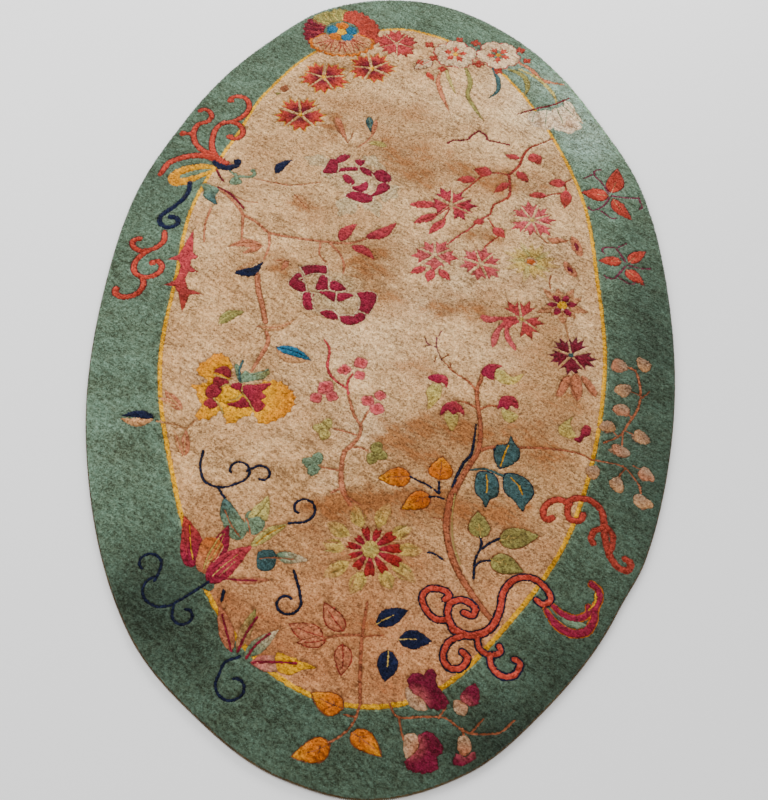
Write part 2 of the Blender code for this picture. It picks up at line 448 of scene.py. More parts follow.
def drawCarnations():
    carnation((-255, 552), 68, (72, 128, 200, 274, 354))
    carnation((-213, 706), 68, (50, 128, 198, 268, 338))
    carnation((-92, 759), 66, (70, 142, 214, 290, 5))
    shape(((-316, 652), (-304, 662), (-296, 648), (-304, 634), (-314, 638)), "brown")
    blot((-320, 626), 14, 10, 30, 0, 0, "olive")
    # brown husk, small bud and their stems
    shape(((-170, 548), (-160, 520), (-146, 490), (-130, 464), (-140, 500), (-150, 536), (-160, 552)),
        "salmon", 4)
    vine(((-172, 540), (-158, 506), (-142, 482), (-130, 464)), (2, 4, 3), "brown", 5)
    vine(((-120, 500), (-124, 478), (-130, 464)), 3, "brown", 4)
    leaf((-86, 566), (-76, 508), 19, "teal", "mist", veinWidth=2.2)
    leaf((-66, 558), (-74, 490), 12, "salmon")
    vine(((-70, 505), (-84, 476), (-104, 450)), 4, "salmon")
    shape(((-80, 470), (-62, 478), (-44, 474), (-34, 462), (-44, 456), (-58, 460), (-70, 462)), "lime", 5)
    ink = {"width": 5.5, "dye": "maroon"}
    vine(((112, 491), (124, 502), (146, 506), (162, 512), (170, 526), (188, 546)), **ink)
    vine(((188, 546), (206, 530), (212, 514), (236, 509), (264, 503)), **ink)


def drawLeftScrolls():
    red = {"dye": "poppy", "edge": "maroon", "edgeWidth": 1.7}
    vine(((-437, 497), (-412, 508), (-391, 534), (-384, 566), (-394, 592), (-414, 602), (-432, 594),
        (-434, 582)), 11.5, **red)
    blot((-433, 582), 17, 15, 0, 0, 0, "poppy", 6)
    vine(((-405, 352), (-430, 366), (-449, 398), (-455, 436), (-452, 474), (-437, 496), (-410, 500),
        (-390, 484), (-386, 460), (-398, 443), (-416, 446)), (16, 14, 12, 11.5, 11.5, 11, 10), **red)
    blot((-415, 449), 18, 15, 0, 0, 0, "poppy", 6)
    vine(((-440, 382), (-468, 390), (-492, 416), (-503, 450), (-498, 482), (-478, 496), (-470, 516),
        (-478, 536), (-494, 542), (-502, 534)), (14, 12.5, 12, 11, 10), **red)
    vine(((-502, 448), (-524, 447)), 10, **red)
    blot((-528, 447), 19, 18, 0, 0, 0, "poppy", 6)
    vine(((-424, 362), (-470, 374), (-512, 362), (-542, 338), (-555, 298)), (20, 18, 16, 14, 10), **red)
    # golden loop, dark hook and grey-green hooks
    shape(((-422, 334), (-456, 346), (-494, 336), (-524, 316), (-535, 288), (-522, 266), (-500, 266),
        (-478, 280), (-448, 308)), "gold", 6, into="orange", hub=(-440, 320), reach=(0, 200))
    shape(((-440, 330), (-476, 322), (-508, 300), (-504, 290), (-476, 304), (-446, 322)), "mist", 7)
    vine(((-440, 358), (-424, 342), (-402, 338), (-386, 346)), (9, 17, 17, 13), "navy", 7, curl=(13, 74))
    blot((-383, 362), 19, 22, 0, 0, 0, "navy", 7)
    vine(((-398, 330), (-376, 314), (-352, 313)), (5, 9, 8), "mist", 6, curl=(17, 150), knob=6)
    blot((-378, 296), 29, 28, 0, 3, 0.1, "mist", 6)
    vine(((-382, 320), (-376, 302)), 9, "mist", 6)
    shape(((-456, 276), (-438, 278), (-412, 264), (-416, 240), (-408, 214), (-424, 222), (-444, 238),
        (-446, 258)), "teal", 6, into="mist", hub=(-414, 214), reach=(10, 70))
    vine(((-428, 330), (-416, 308), (-406, 292)), 5.5, "maroon", 7)
    vine(((-416, 272), (-388, 256), (-364, 232), (-345, 208)), (4, 6, 5), "maroon", 7)
    leaf((-288, 332), (-254, 386), 24, "navy", bend=0.14, layer=6)
    # dark scroll with the red chain that hangs from it
    vine(((-482, 280), (-480, 246), (-496, 208), (-524, 170)), (11, 11, 12), "navy", 6,
        curl=(28, 310, 0.42), knob=9)
    vine(((-510, 116), (-507, 88), (-522, 64), (-548, 53), (-568, 62), (-574, 80), (-562, 90)), 10.5, **red)
    blot((-560, 88), 15, 13, 0, 0, 0, "poppy", 6)
    vine(((-534, 56), (-552, 30), (-556, 4), (-544, -18), (-520, -22), (-500, -8), (-496, 12), (-506, 26),
        (-520, 22)), 11, **red)
    blot((-518, 20), 16, 14, 0, 0, 0, "poppy", 6)
    vine(((-532, -22), (-525, -46), (-534, -72), (-558, -84), (-578, -76), (-580, -62)), (10.5, 12, 13),
        **red)
    # a stepped pendant hangs over the yellow line
    pendant = [(-448, 130), (-442, 98), (-437, 62), (-423, 47), (-437, 38), (-436, 22), (-414, 3),
        (-437, 3), (-440, -18), (-430, -45), (-394, -57), (-424, -63), (-426, -88), (-430, -112),
        (-439, -86), (-447, -60), (-458, -43), (-484, -40), (-462, -27), (-456, -4), (-456, 20), (-464, 34),
        (-490, 34), (-468, 48), (-460, 74)]
    add(pendant, "rose", 6, into="ember", hub=(-450, 90), reach=(60, 190))


def drawLeftVines():
    for points, width in ((((-415, 270), (-382, 240), (-356, 208), (-345, 188)), 7), (((-345, 190),
            (-341, 150), (-335, 98)), (7, 4)), (((-345, 190), (-308, 166), (-282, 142), (-240, 132),
            (-150, 126), (-96, 128), (-62, 146)), (7, 7, 6)), (((-280, 140), (-274, 100), (-280, 58)),
            (6, 4)), (((-420, 202), (-425, 150), (-418, 94)), (5, 4)), (((-336, 310), (-262, 298),
            (-228, 302), (-182, 316)), (3.5, 3.5)), (((-162, 122), (-160, 86), (-144, 64)), (5, 3)),
            (((-140, 122), (-115, 92), (-104, 62), (-103, 34)), (6, 4)), (((-250, -138), (-241, -172),
            (-252, -215), (-264, -252)), (7, 10, 6)), (((-392, 262), (-350, 235), (-318, 232)), (3, 3))):
        vine(points, width, "salmon", 4)
    vine(((-288, 12), (-280, -32), (-266, -74), (-253, -120)), (10, 9, 8), "salmon", 5, edge="brown",
        edgeWidth=1.6)
    for base, tip, width, bend in (((-118, 132), (-84, 190), 30, 0.1), ((-62, 148), (4, 205), 30, -0.1),
            ((-92, 120), (-38, 84), 24, 0.1)):
        leaf(base, tip, width, "rose", bend=bend, into="crimson", hub=tip, reach=(20, 130))
    leaf((-286, 96), (-366, 86), 24, "salmon", "brown", bend=-0.14, layer=4)
    leaf((-292, 94), (-330, 70), 16, "salmon", layer=5)
    leaf((-222, 56), (-262, 58), 17, "tan", "brown", layer=4)
    leaf((-226, 60), (-238, 28), 13, "salmon", layer=4)
    leaf((-338, 10), (-280, 52), 26, "navy", bend=-0.2, layer=6)
    leaf((-336, 18), (-286, 60), 14, "tan", bend=-0.02, layer=5)
    leaf((-268, -134), (-190, -103), 19, "tan", "salmon", bend=-0.16)
    leaf((-348, -134), (-298, -96), 28, "olive", "lime", bend=0.14)
    leaf((-222, -186), (-148, -214), 25, "tan", bend=-0.14, layer=4)
    leaf((-222, -184), (-146, -212), 24, "blue", "navy", bend=0.06, layer=6, veinWidth=2.0)
    leaf((-237, 268), (-196, 214), 26, "tan", "brown", layer=4)
    # sprays beside the line
    for base, tip, width, dye in (((-386, -362), (-428, -316), 21, "salmon"), ((-392, -352), (-438, -334),
            15, "tan"), ((-362, -468), (-370, -404), 19, "salmon"), ((-366, -462), (-392, -410), 13,
            "tan")):
        leaf(base, tip, width, dye, "tan" if dye == "salmon" else "salmon", layer=4)
    vine(((-430, -392), (-395, -396), (-368, -402), (-352, -372)), 4, "tan", 4)
    leaf((-436, -388), (-502, -392), 20, "tan", bend=0.12, layer=5)
    leaf((-436, -384), (-500, -386), 19, "navy", bend=-0.1, layer=6)


def drawPeony(hub, size, pieces, seams):
    # crimson pieces of petal in ivory seams, round a heart that is nearly the field's own colour
    blot(hub, size[0], size[1], 0, 7, 0.05, "pale", 3, into="cream", hub=hub, reach=(0, 80), carve=False)
    for points in seams:
        vine(points, 3.6, "ivory", 5.5)
    for points in pieces:
        outline = eased(points, 3.0, True)
        add(swollen(outline, 3.6), "ivory", 4.5, carve=False)
        add(swollen(outline, 1.5), "crimson", 5, into="maroon", hub=hub, reach=(50, 130))


def drawPeonies():
    # a pale bloom round the first
    for x, y, across, along in ((-190, 388, 70, 40), (-150, 352, 60, 90), (-60, 388, 80, 40),
            (-22, 300, 50, 60), (-110, 250, 80, 50), (-60, 262, 90, 40)):
        blot((x, y), across, along, x, 5, 0.16, "pale", 2.5, carve=False)
    drawPeony((-98, 336), (122, 116), (((-153, 396), (-146, 410), (-138, 418), (-120, 416), (-130, 400),
        (-140, 390)), ((-178, 352), (-172, 374), (-165, 396), (-150, 396), (-146, 378), (-148, 356),
        (-163, 350)), ((-106, 402), (-94, 404), (-84, 402), (-92, 385), (-99, 388)), ((-142, 358),
        (-120, 364), (-98, 369), (-98, 377), (-120, 375), (-140, 368)), ((-92, 379), (-74, 374), (-58, 358),
        (-62, 352), (-77, 356), (-90, 368)), ((-55, 370), (-38, 374), (-22, 360), (-18, 344), (-30, 334),
        (-48, 340), (-55, 354)), ((-130, 346), (-118, 347), (-104, 328), (-106, 318), (-120, 322),
        (-128, 334)), ((-106, 308), (-90, 316), (-74, 330), (-71, 312), (-77, 299), (-92, 297)),
        ((-40, 329), (-24, 328), (-20, 314), (-34, 298), (-56, 284), (-58, 288), (-48, 302), (-46, 320)),
        ((-118, 276), (-108, 290), (-88, 292), (-62, 286), (-58, 268), (-78, 260), (-100, 268))),
        (((-144, 384), (-143, 366), (-146, 352)), ((-96, 384), (-97, 362), (-104, 350)), ((-64, 362),
        (-56, 340)), ((-70, 334), (-56, 322), (-50, 306)), ((-112, 320), (-108, 306), (-112, 296))))
    drawPeony((-120, -28), (150, 128), (((-196, 42), (-180, 50), (-148, 52), (-140, 46), (-142, 32),
        (-164, 30), (-180, 22), (-190, 32)), ((-216, -6), (-206, 20), (-198, 25), (-188, 8), (-182, -10),
        (-180, -24), (-192, -26), (-206, -18)), ((-156, -16), (-154, 8), (-150, 22), (-136, 22), (-131, -4),
        (-134, -19)), ((-127, 8), (-110, 7), (-94, -9), (-108, -15), (-125, -14)), ((-149, -23),
        (-132, -21), (-116, -25), (-115, -46), (-130, -36)), ((-109, -25), (-92, -22), (-77, -26),
        (-88, -35), (-105, -46)), ((-68, -20), (-50, -14), (-30, -16), (-27, -32), (-33, -56), (-42, -76),
        (-56, -76), (-62, -60), (-60, -42)), ((-182, -34), (-172, -29), (-162, -32), (-165, -50),
        (-158, -70), (-170, -76), (-180, -58)), ((-141, -79), (-122, -75), (-104, -84), (-106, -96),
        (-126, -94)), ((-96, -88), (-76, -84), (-54, -75), (-46, -86), (-60, -101), (-80, -108),
        (-94, -101))), (((-202, 46), (-190, 28), (-186, 15), (-197, 9), (-182, -2), (-176, -20),
        (-165, -27), (-148, -21), (-128, -18), (-112, -21), (-90, -17), (-74, -18), (-65, -30), (-60, -44),
        (-61, -58), (-63, -68), (-52, -72), (-40, -78)), ((-186, 16), (-172, 24), (-160, 29), (-146, 28),
        (-138, 22)), ((-140, 54), (-136, 30), (-132, 8), (-130, -14)), ((-165, -27), (-164, -40),
        (-157, -54), (-158, -67), (-148, -78), (-140, -76), (-126, -71), (-112, -74), (-103, -86),
        (-98, -100)), ((-112, -20), (-112, -34), (-112, -50)), ((-63, -68), (-72, -82), (-84, -80),
        (-94, -85), (-102, -84))))
    # golden peony with crimson hearts
    hub = (-285, -310)
    for points in (((-306, -240), (-312, -227), (-330, -214), (-346, -216), (-356, -232), (-370, -244),
            (-372, -264), (-356, -278), (-330, -282), (-304, -276)), ((-346, -276), (-350, -290),
            (-378, -300), (-366, -310), (-360, -328), (-350, -346), (-357, -372), (-342, -380),
            (-324, -373), (-310, -352), (-300, -320), (-310, -280)), ((-318, -340), (-304, -362),
            (-294, -382), (-278, -380), (-268, -367), (-252, -362), (-248, -340), (-268, -318),
            (-300, -312)), ((-320, -296), (-300, -290), (-276, -296), (-262, -320), (-288, -334),
            (-318, -330)), ((-250, -284), (-218, -270), (-200, -274), (-184, -286), (-170, -302),
            (-169, -326), (-178, -348), (-192, -362), (-210, -373), (-228, -378), (-240, -364),
            (-252, -342), (-262, -310))):
        add(ruffled(points, 5.0, 0.06, 2.1), "gold", 4, into="orange", hub=hub, reach=(30, 150))
    for points in (((-337, -260), (-330, -250), (-320, -245), (-310, -249), (-304, -264), (-307, -272),
            (-322, -265)), ((-335, -276), (-318, -276), (-306, -286), (-318, -297), (-316, -309),
            (-332, -327), (-346, -315), (-344, -300), (-336, -290)), ((-346, -340), (-332, -329),
            (-319, -342), (-331, -352)), ((-302, -293), (-290, -285), (-277, -287), (-276, -304),
            (-290, -299)), ((-300, -337), (-282, -330), (-272, -318), (-262, -329), (-257, -339),
            (-276, -344)), ((-272, -290), (-250, -286), (-223, -279), (-228, -292), (-236, -301),
            (-227, -312), (-235, -320), (-226, -333), (-238, -348), (-252, -340), (-264, -318),
            (-276, -304))):
        shape(grown(points, 1.08), "crimson", 6, 3.0, into="ember", hub=hub, reach=(0, 150))
    for points in (((-338, -268), (-322, -272), (-302, -278)), ((-276, -288), (-275, -305), (-262, -322),
            (-246, -348)), ((-330, -326), (-316, -340), (-304, -360)), ((-300, -328), (-286, -324),
            (-275, -310)), ((-320, -298), (-308, -290), (-300, -292))):
        vine(points, 3, "butter", 7)
    shape(((-300, -236), (-294, -262), (-282, -282), (-258, -276), (-236, -268), (-227, -252), (-232, -244),
        (-246, -251), (-262, -258), (-276, -250), (-284, -262), (-290, -240)), "olive", 6, into="mist",
        hub=(-226, -250), reach=(0, 40))
    vine(((-285, -226), (-288, -252), (-283, -278)), 5, "teal", 7)
    vine(((-270, -262), (-256, -256), (-240, -250), (-230, -243)), 3.4, "mist", 7)


def drawDarkScrolls():
    for points, curl in (
            (((-328, -450), (-328, -486), (-312, -520), (-276, -527), (-246, -512)), (26, 268, 0.5)),
            (((-240, -488), (-224, -477)), (21, -225, 0.5)), (((-288, -528), (-272, -550)), None),
            (((-148, -592), (-124, -588)), (29, 320, 0.38)),
            (((-127, -686), (-114, -720), (-108, -742)), (25, -330, 0.45)),
            (((-274, -722), (-296, -742), (-326, -767)), (42, -195, 0.5)),
            (((-368, -728), (-362, -704)), (25, 250, 0.5)), (((-326, -767), (-326, -786)), (21, 270, 0.5)),
            (((-198, -853), (-222, -866), (-231, -896)), (30, 300, 0.42)),
            (((-245, -736), (-245, -756)), None)):
        vine(points, 5.2, "navy", 6, curl)


def drawMiddleSprig():
    bark = {"dye": "salmon", "layer": 4}
    vine(((-125, -155), (-112, -180), (-112, -225), (-98, -252), (-68, -276)), (4, 6, 5), "rose")
    vine(((-60, -238), (-68, -262), (-64, -288)), 5, "rose")
    vine(((-66, -284), (-50, -334), (-33, -366), (-37, -394), (-60, -428)), (5, 6, 9), **bark)
    vine(((-60, -428), (-62, -460), (-57, -506), (-38, -544)), (9, 9, 12, 7), **bark)
    for points in (((-20, -325), (-30, -350), (-34, -368)), ((-84, -375), (-60, -380), (-40, -386)),
            ((-52, -418), (-34, -414), (-16, -420)), ((-100, -466), (-80, -468), (-62, -470)), ((-62, -510),
            (-76, -520)), ((-44, -528), (-20, -540))):
        vine(points, 4, **bark)
    for x, y, size in ((-45, -208, 15), (-76, -228, 13), (-45, -239, 12), (-110, -277, 17), (-96, -298, 13),
            (-127, -305, 13), (0, -286, 12), (-24, -302, 14), (-4, -320, 15), (-84, -232, 8),
            (-118, -284, 9)):
        blot((x, y), size * 2, size * 1.9, x, 4, 0.07, "rose", into="blush", hub=(x, y), reach=(3, size))
    trefoil((-100, -378), (-62, -382), 13, "lime")
    trefoil((-2, -424), (-40, -414), 13.5, "olive")
    trefoil((-112, -460), (-70, -468), 13.5, "mist")


def drawPrunus():
    stem = {"dye": "ember", "layer": 4}
    vine(((372, 540), (345, 520), (314, 498), (298, 470), (286, 430), (262, 395)), (3, 5, 7, 7), **stem)
    vine(((262, 395), (265, 350), (260, 318), (238, 298), (226, 288), (218, 256)), (7, 6, 4.5), **stem)
    vine(((218, 256), (190, 230), (172, 204), (148, 180), (122, 148)), (4.5, 4), "rose")
    vine(((262, 396), (212, 396), (182, 362), (152, 322)), (5, 5, 4), **stem)
    vine(((415, 400), (396, 384), (396, 352), (362, 340), (344, 328)), (3, 5, 4), **stem)
    vine(((213, 242), (228, 214)), 4, **stem)
    vine(((236, 186), (222, 170), (206, 150)), 4, **stem)
    for base, tip, width in (((288, 456), (252, 466), 20), ((316, 478), (338, 440), 34), ((282, 410),
            (308, 372), 24), ((262, 368), (226, 328), 20), ((222, 396), (178, 404), 36), ((182, 372),
            (136, 362), 26), ((396, 384), (356, 376), 30), ((400, 358), (392, 298), 28), ((350, 336),
            (306, 330), 22), ((226, 214), (252, 184), 26), ((205, 232), (178, 224), 20)):
        leaf(base, tip, width, "rose", into="ember", hub=base, reach=(0, 46), blunt=0.8)
    blossom((127, 277), 60, (116, 62, 2, 306, 192), "rose", "ember", 3, 0.3, into="crimson")
    for tip, width in (((28, 266), 26), ((42, 206), 24), ((78, 176), 22)):
        leaf(((127 + tip[0]) / 2 + 14, (275 + tip[1]) / 2 + 4), tip, width, "rose", "ember", veinWidth=2.0,
            blunt=0.9)
    vine(((122, 268), (92, 236), (66, 220)), 4, "rose")
    vine(((124, 262), (108, 222), (92, 196)), 4, "rose")
    blossom((315, 249), 60, (146, 98, 50, 5, 312, 264, 216), "blush", "rose", 3, 0.3, into="rose", dot=5)
    blossom((95, 112), 52, (122, 62, 354, 270, 188), "blush", "rose", 3, 0.28, into="rose")
    for base, tip, width in (((78, 74), (42, 52), 20), ((92, 70), (82, 30), 22), ((104, 72), (132, 40),
            20)):
        leaf(base, tip, width, "rose", "blush", veinWidth=2.0, blunt=0.9)
    blossom((198, 97), 53, (134, 78, 24, 318, 262, 196), "rose", "ember", 3, 0.28, into="blush")
    blossom((287, -54), 56, (122, 70, 350, 292), "rose", "ember", 3, 0.32, into="ember", dot=5)
    for points in (((276, -50), (250, -52), (226, -54), (202, -52), (200, -62), (212, -72), (228, -70),
            (240, -62), (262, -66), (276, -60)), ((258, -56), (244, -70), (230, -92), (222, -114),
            (224, -138), (232, -132), (238, -112), (244, -88), (262, -70)), ((276, -58), (256, -68),
            (250, -92), (252, -112), (264, -132), (274, -142), (274, -130), (264, -108), (260, -88),
            (268, -74), (282, -64))):
        shape(points, "rose", 5, 3.0, into="blush", hub=(287, -54), reach=(30, 120))
    # faded flower of fine rays, with a bright heart
    for n, turn in enumerate(range(10, 370, 24)):
        far = 64 + 10 * math.sin(3.3 * n)
        leaf(polar((310, 116), 12, turn), polar((310, 116), far, turn + 5), 15,
            "lime" if n % 3 == 1 else "butter", layer=3, into="cream", hub=(310, 116), reach=(20, 80),
            carve=False)
    blot((310, 116), 19, 17, 0, 5, 0.2, "poppy", 5, into="orange", hub=(310, 116), reach=(0, 10))
    # brown buds on a curling stalk
    for points, hollow in ((((404, 206), (420, 194), (428, 168), (426, 146), (412, 152), (402, 176)),
            ((412, 190), (420, 174), (416, 162), (410, 176))), (((386, 126), (402, 112), (412, 94),
            (410, 80), (396, 88), (384, 106)), ((392, 112), (402, 102), (402, 92), (393, 100)))):
        shape(points, "salmon", 5)
        shape(hollow, "maroon", 6)
    shape(((348, 190), (362, 198), (384, 196), (394, 188), (380, 182), (360, 182)), "salmon", 4)
    vine(((322, 208), (338, 190), (352, 178), (378, 184), (396, 194)), 4, "brown", 5)
    vine(((352, 40), (350, 62), (354, 78)), 3.4, "brown", 4)
    # star flower, dark flower and the buds that hang under it
    star = (376, -6)
    for turn, far in ((100, 50), (132, 60), (62, 58), (30, 50), (205, 62), (232, 40), (270, 52), (308, 44),
            (346, 58)):
        leaf(polar(star, 14, turn), polar(star, far, turn), 21, "tan", "salmon", layer=5, veinWidth=2.4,
            into="salmon", hub=star, reach=(20, 70))
    for turn in (68, 122, 12, 180, 238, 300):
        leaf(polar(star, 6, turn), polar(star, 34, turn), 15, "maroon", layer=6, blunt=1.1, into="crimson",
            hub=star, reach=(8, 30))
    blot(star, 21, 23, 0, 0, 0, "gold", 7)
    vine(((380, -50), (383, -76), (386, -100)), 3.4, "tan", 4)
    carnation((390, -142), 52, (66, 126, 196, 270, 342), "maroon", "plum", "maroon", "teal", 4, 0.28)
    for points in (((384, -196), (370, -206), (360, -230), (355, -250), (368, -248), (380, -228),
            (390, -208)), ((395, -190), (386, -212), (387, -240), (398, -258), (408, -240), (409, -210),
            (403, -192)), ((409, -194), (413, -212), (424, -236), (434, -245), (440, -236), (433, -214),
            (420, -198))):
        shape(points, "salmon", 5)
        vine((points[0], points[1], points[3]), 2, "brown", 6)


def drawTrunk():
    wood = {"dye": "bark", "layer": 5, "edge": "brown", "edgeWidth": 1.4}
    vine(((205, -206), (202, -226), (194, -254), (198, -300), (203, -350), (198, -400), (174, -450),
        (150, -504)), (5, 6, 7, 9, 12), **wood)
    vine(((150, -504), (142, -556), (146, -604), (166, -662), (206, -724), (236, -758)), (12, 10, 10, 8),
        **wood)
    vine(((194, -336), (191, -366), (188, -396), (183, -412), (170, -432), (158, -462), (150, -486)),
        (3, 5, 6, 6, 4), "navy", 7)
    vine(((156, -500), (152, -556), (156, -606), (170, -648)), 2.6, "lime", 6)
    for points in (((108, -122), (109, -150), (120, -182)), ((109, -150), (90, -142), (84, -128)),
            ((84, -150), (96, -146)), ((112, -120), (118, -104)), ((106, -190), (108, -176)), ((118, -180),
            (134, -168)), ((140, -205), (138, -188))):
        vine(points, 2.6, "plum" if points[0][1] > -160 else "brown", 4)
    for points, width in ((((120, -182), (150, -214), (176, -232), (198, -260)), (3, 4.4, 5)),
            (((152, -284), (174, -286), (196, -298)), (4, 5)), (((236, -288), (218, -290), (200, -300)), 5),
            (((200, -398), (226, -388), (270, -384), (342, -380), (396, -386), (420, -398)), (8, 5, 4)),
            (((420, -398), (456, -402), (486, -412), (512, -452)), (4, 3)), (((148, -560), (118, -556)),
            3)):
        vine(points, width, "bark", 4)
    # buds, part crimson cap and part pale green
    for cap, pale in ((((92, -230), (106, -221), (126, -221), (135, -232), (133, -253), (126, -242),
            (114, -243), (102, -238)), ((104, -246), (122, -250), (122, -276), (108, -298), (96, -310),
            (96, -286), (92, -266))), (((122, -322), (124, -304), (136, -290), (152, -286), (166, -298),
            (170, -318), (158, -310), (148, -318), (138, -308), (130, -316)), ((136, -314), (156, -316),
            (158, -336), (146, -358), (136, -342), (130, -328))), (((202, -208), (210, -190), (224, -181),
            (246, -185), (232, -196), (228, -222), (214, -219)), ((230, -196), (248, -196), (266, -212),
            (290, -200), (276, -226), (254, -232), (234, -222))), (((236, -297), (240, -274), (250, -261),
            (270, -262), (278, -276), (276, -291), (264, -284), (256, -295), (246, -288)), ((244, -298),
            (260, -296), (278, -306), (270, -322), (252, -324))), (((399, -360), (387, -352), (400, -344),
            (402, -330), (412, -316), (422, -322), (419, -340), (408, -346)), ((388, -298), (376, -308),
            (358, -326), (360, -344), (378, -352), (392, -346), (386, -330), (382, -314)))):
        shape(pale, "lime", 4, into="butter", hub=pale[0], reach=(5, 60))
        shape(cap, "crimson", 5, into="rose", hub=cap[0], reach=(20, 62))
    for base, tip, width in (((70, -470), (10, -480), 42), ((126, -472), (130, -420), 46), ((108, -508),
            (58, -542), 38)):
        leaf(base, tip, width, "orange", "brown", sides=1, blunt=0.66, edge="brown", edgeWidth=1.6,
            veinWidth=1.6, into="gold", hub=tip, reach=(34, -30))
    for points in (((70, -470), (84, -478), (100, -484), (126, -502)), ((126, -502), (125, -476)),
            ((108, -512), (122, -510), (136, -514)), ((205, -588), (207, -606), (196, -636), (194, -674)),
            ((240, -588), (224, -598), (208, -612)), ((224, -634), (206, -638), (195, -650)), ((110, -628),
            (122, -630), (138, -640))):
        vine(points, 4.6, "navy", 6)
    vine(((184, -444), (214, -440), (248, -452)), (4, 5, 6), "teal", 5)
    for points, vein in ((((238, -432), (230, -404), (236, -384), (256, -378), (262, -358), (268, -372),
            (277, -386), (279, -404), (268, -420), (254, -430)), ((242, -430), (250, -402), (258, -380))),
            (((200, -450), (194, -470), (196, -494), (206, -504), (214, -522), (222, -506), (236, -496),
            (238, -470), (230, -452), (214, -446)), ((215, -452), (217, -470), (216, -492))), (((252, -448),
            (248, -468), (252, -488), (268, -504), (284, -524), (290, -510), (302, -492), (304, -474),
            (292, -456), (272, -446)), ((262, -454), (276, -470), (284, -490)))):
        shape(grown(points, 1.07), "navy", 4)
        shape(points, "teal", 5)
        vine(vein, 3.2, "gold", 6)
    for base, tip, width in (((206, -590), (200, -534), 40), ((240, -592), (314, -576), 42), ((224, -632),
            (284, -652), 40)):
        leaf(base, tip, width, "olive", "butter", 0.02, 1, blunt=0.66, edge="brown", edgeWidth=1.6,
            veinWidth=1.8, veinEnd=0.6)


def drawChrysanthemum():
    hub = (6, -632)
    for n, turn in enumerate((112, 74, 36, 1, -32, -64, -104, -146, 181, 146)):
        base = polar(hub, 46, turn + 4)
        tip = polar(hub, 96 + 9 * math.sin(n * 2.1), turn + 5 * math.sin(n * 3.0))
        leaf(base, tip, 29, "butter", blunt=0.9, layer=3, into="tan", hub=hub, reach=(62, 112), carve=False)
        for way in (-9, 8):
            vine((polar(hub, 60, turn + way), polar(hub, 84, turn + way * 0.7)), 2.4,
                "lime" if way > 0 else "tan", 4)
    for n, turn in enumerate(range(8, 360, 33)):
        far = 45 + 8 * math.cos(math.radians(turn + 20)) + 4 * math.sin(n * 2.7)
        side = 14.4 + 1.5 * math.sin(n * 1.9)
        shape((polar(hub, 15, turn - 7), polar(hub, 15, turn + 7),
            polar(hub, far * 0.8, turn + side * 0.86), polar(hub, far + 4, turn + side * 0.5),
            polar(hub, far, turn), polar(hub, far + 5, turn - side * 0.5),
            polar(hub, far * 0.8, turn - side * 0.86)), "scarlet", 5, 3.0, into="crimson", hub=hub,
            reach=(40, 6))
    blot(hub, 30, 34, 0, 6, 0.06, "olive", 7, into="butter", hub=hub, reach=(0, 16))


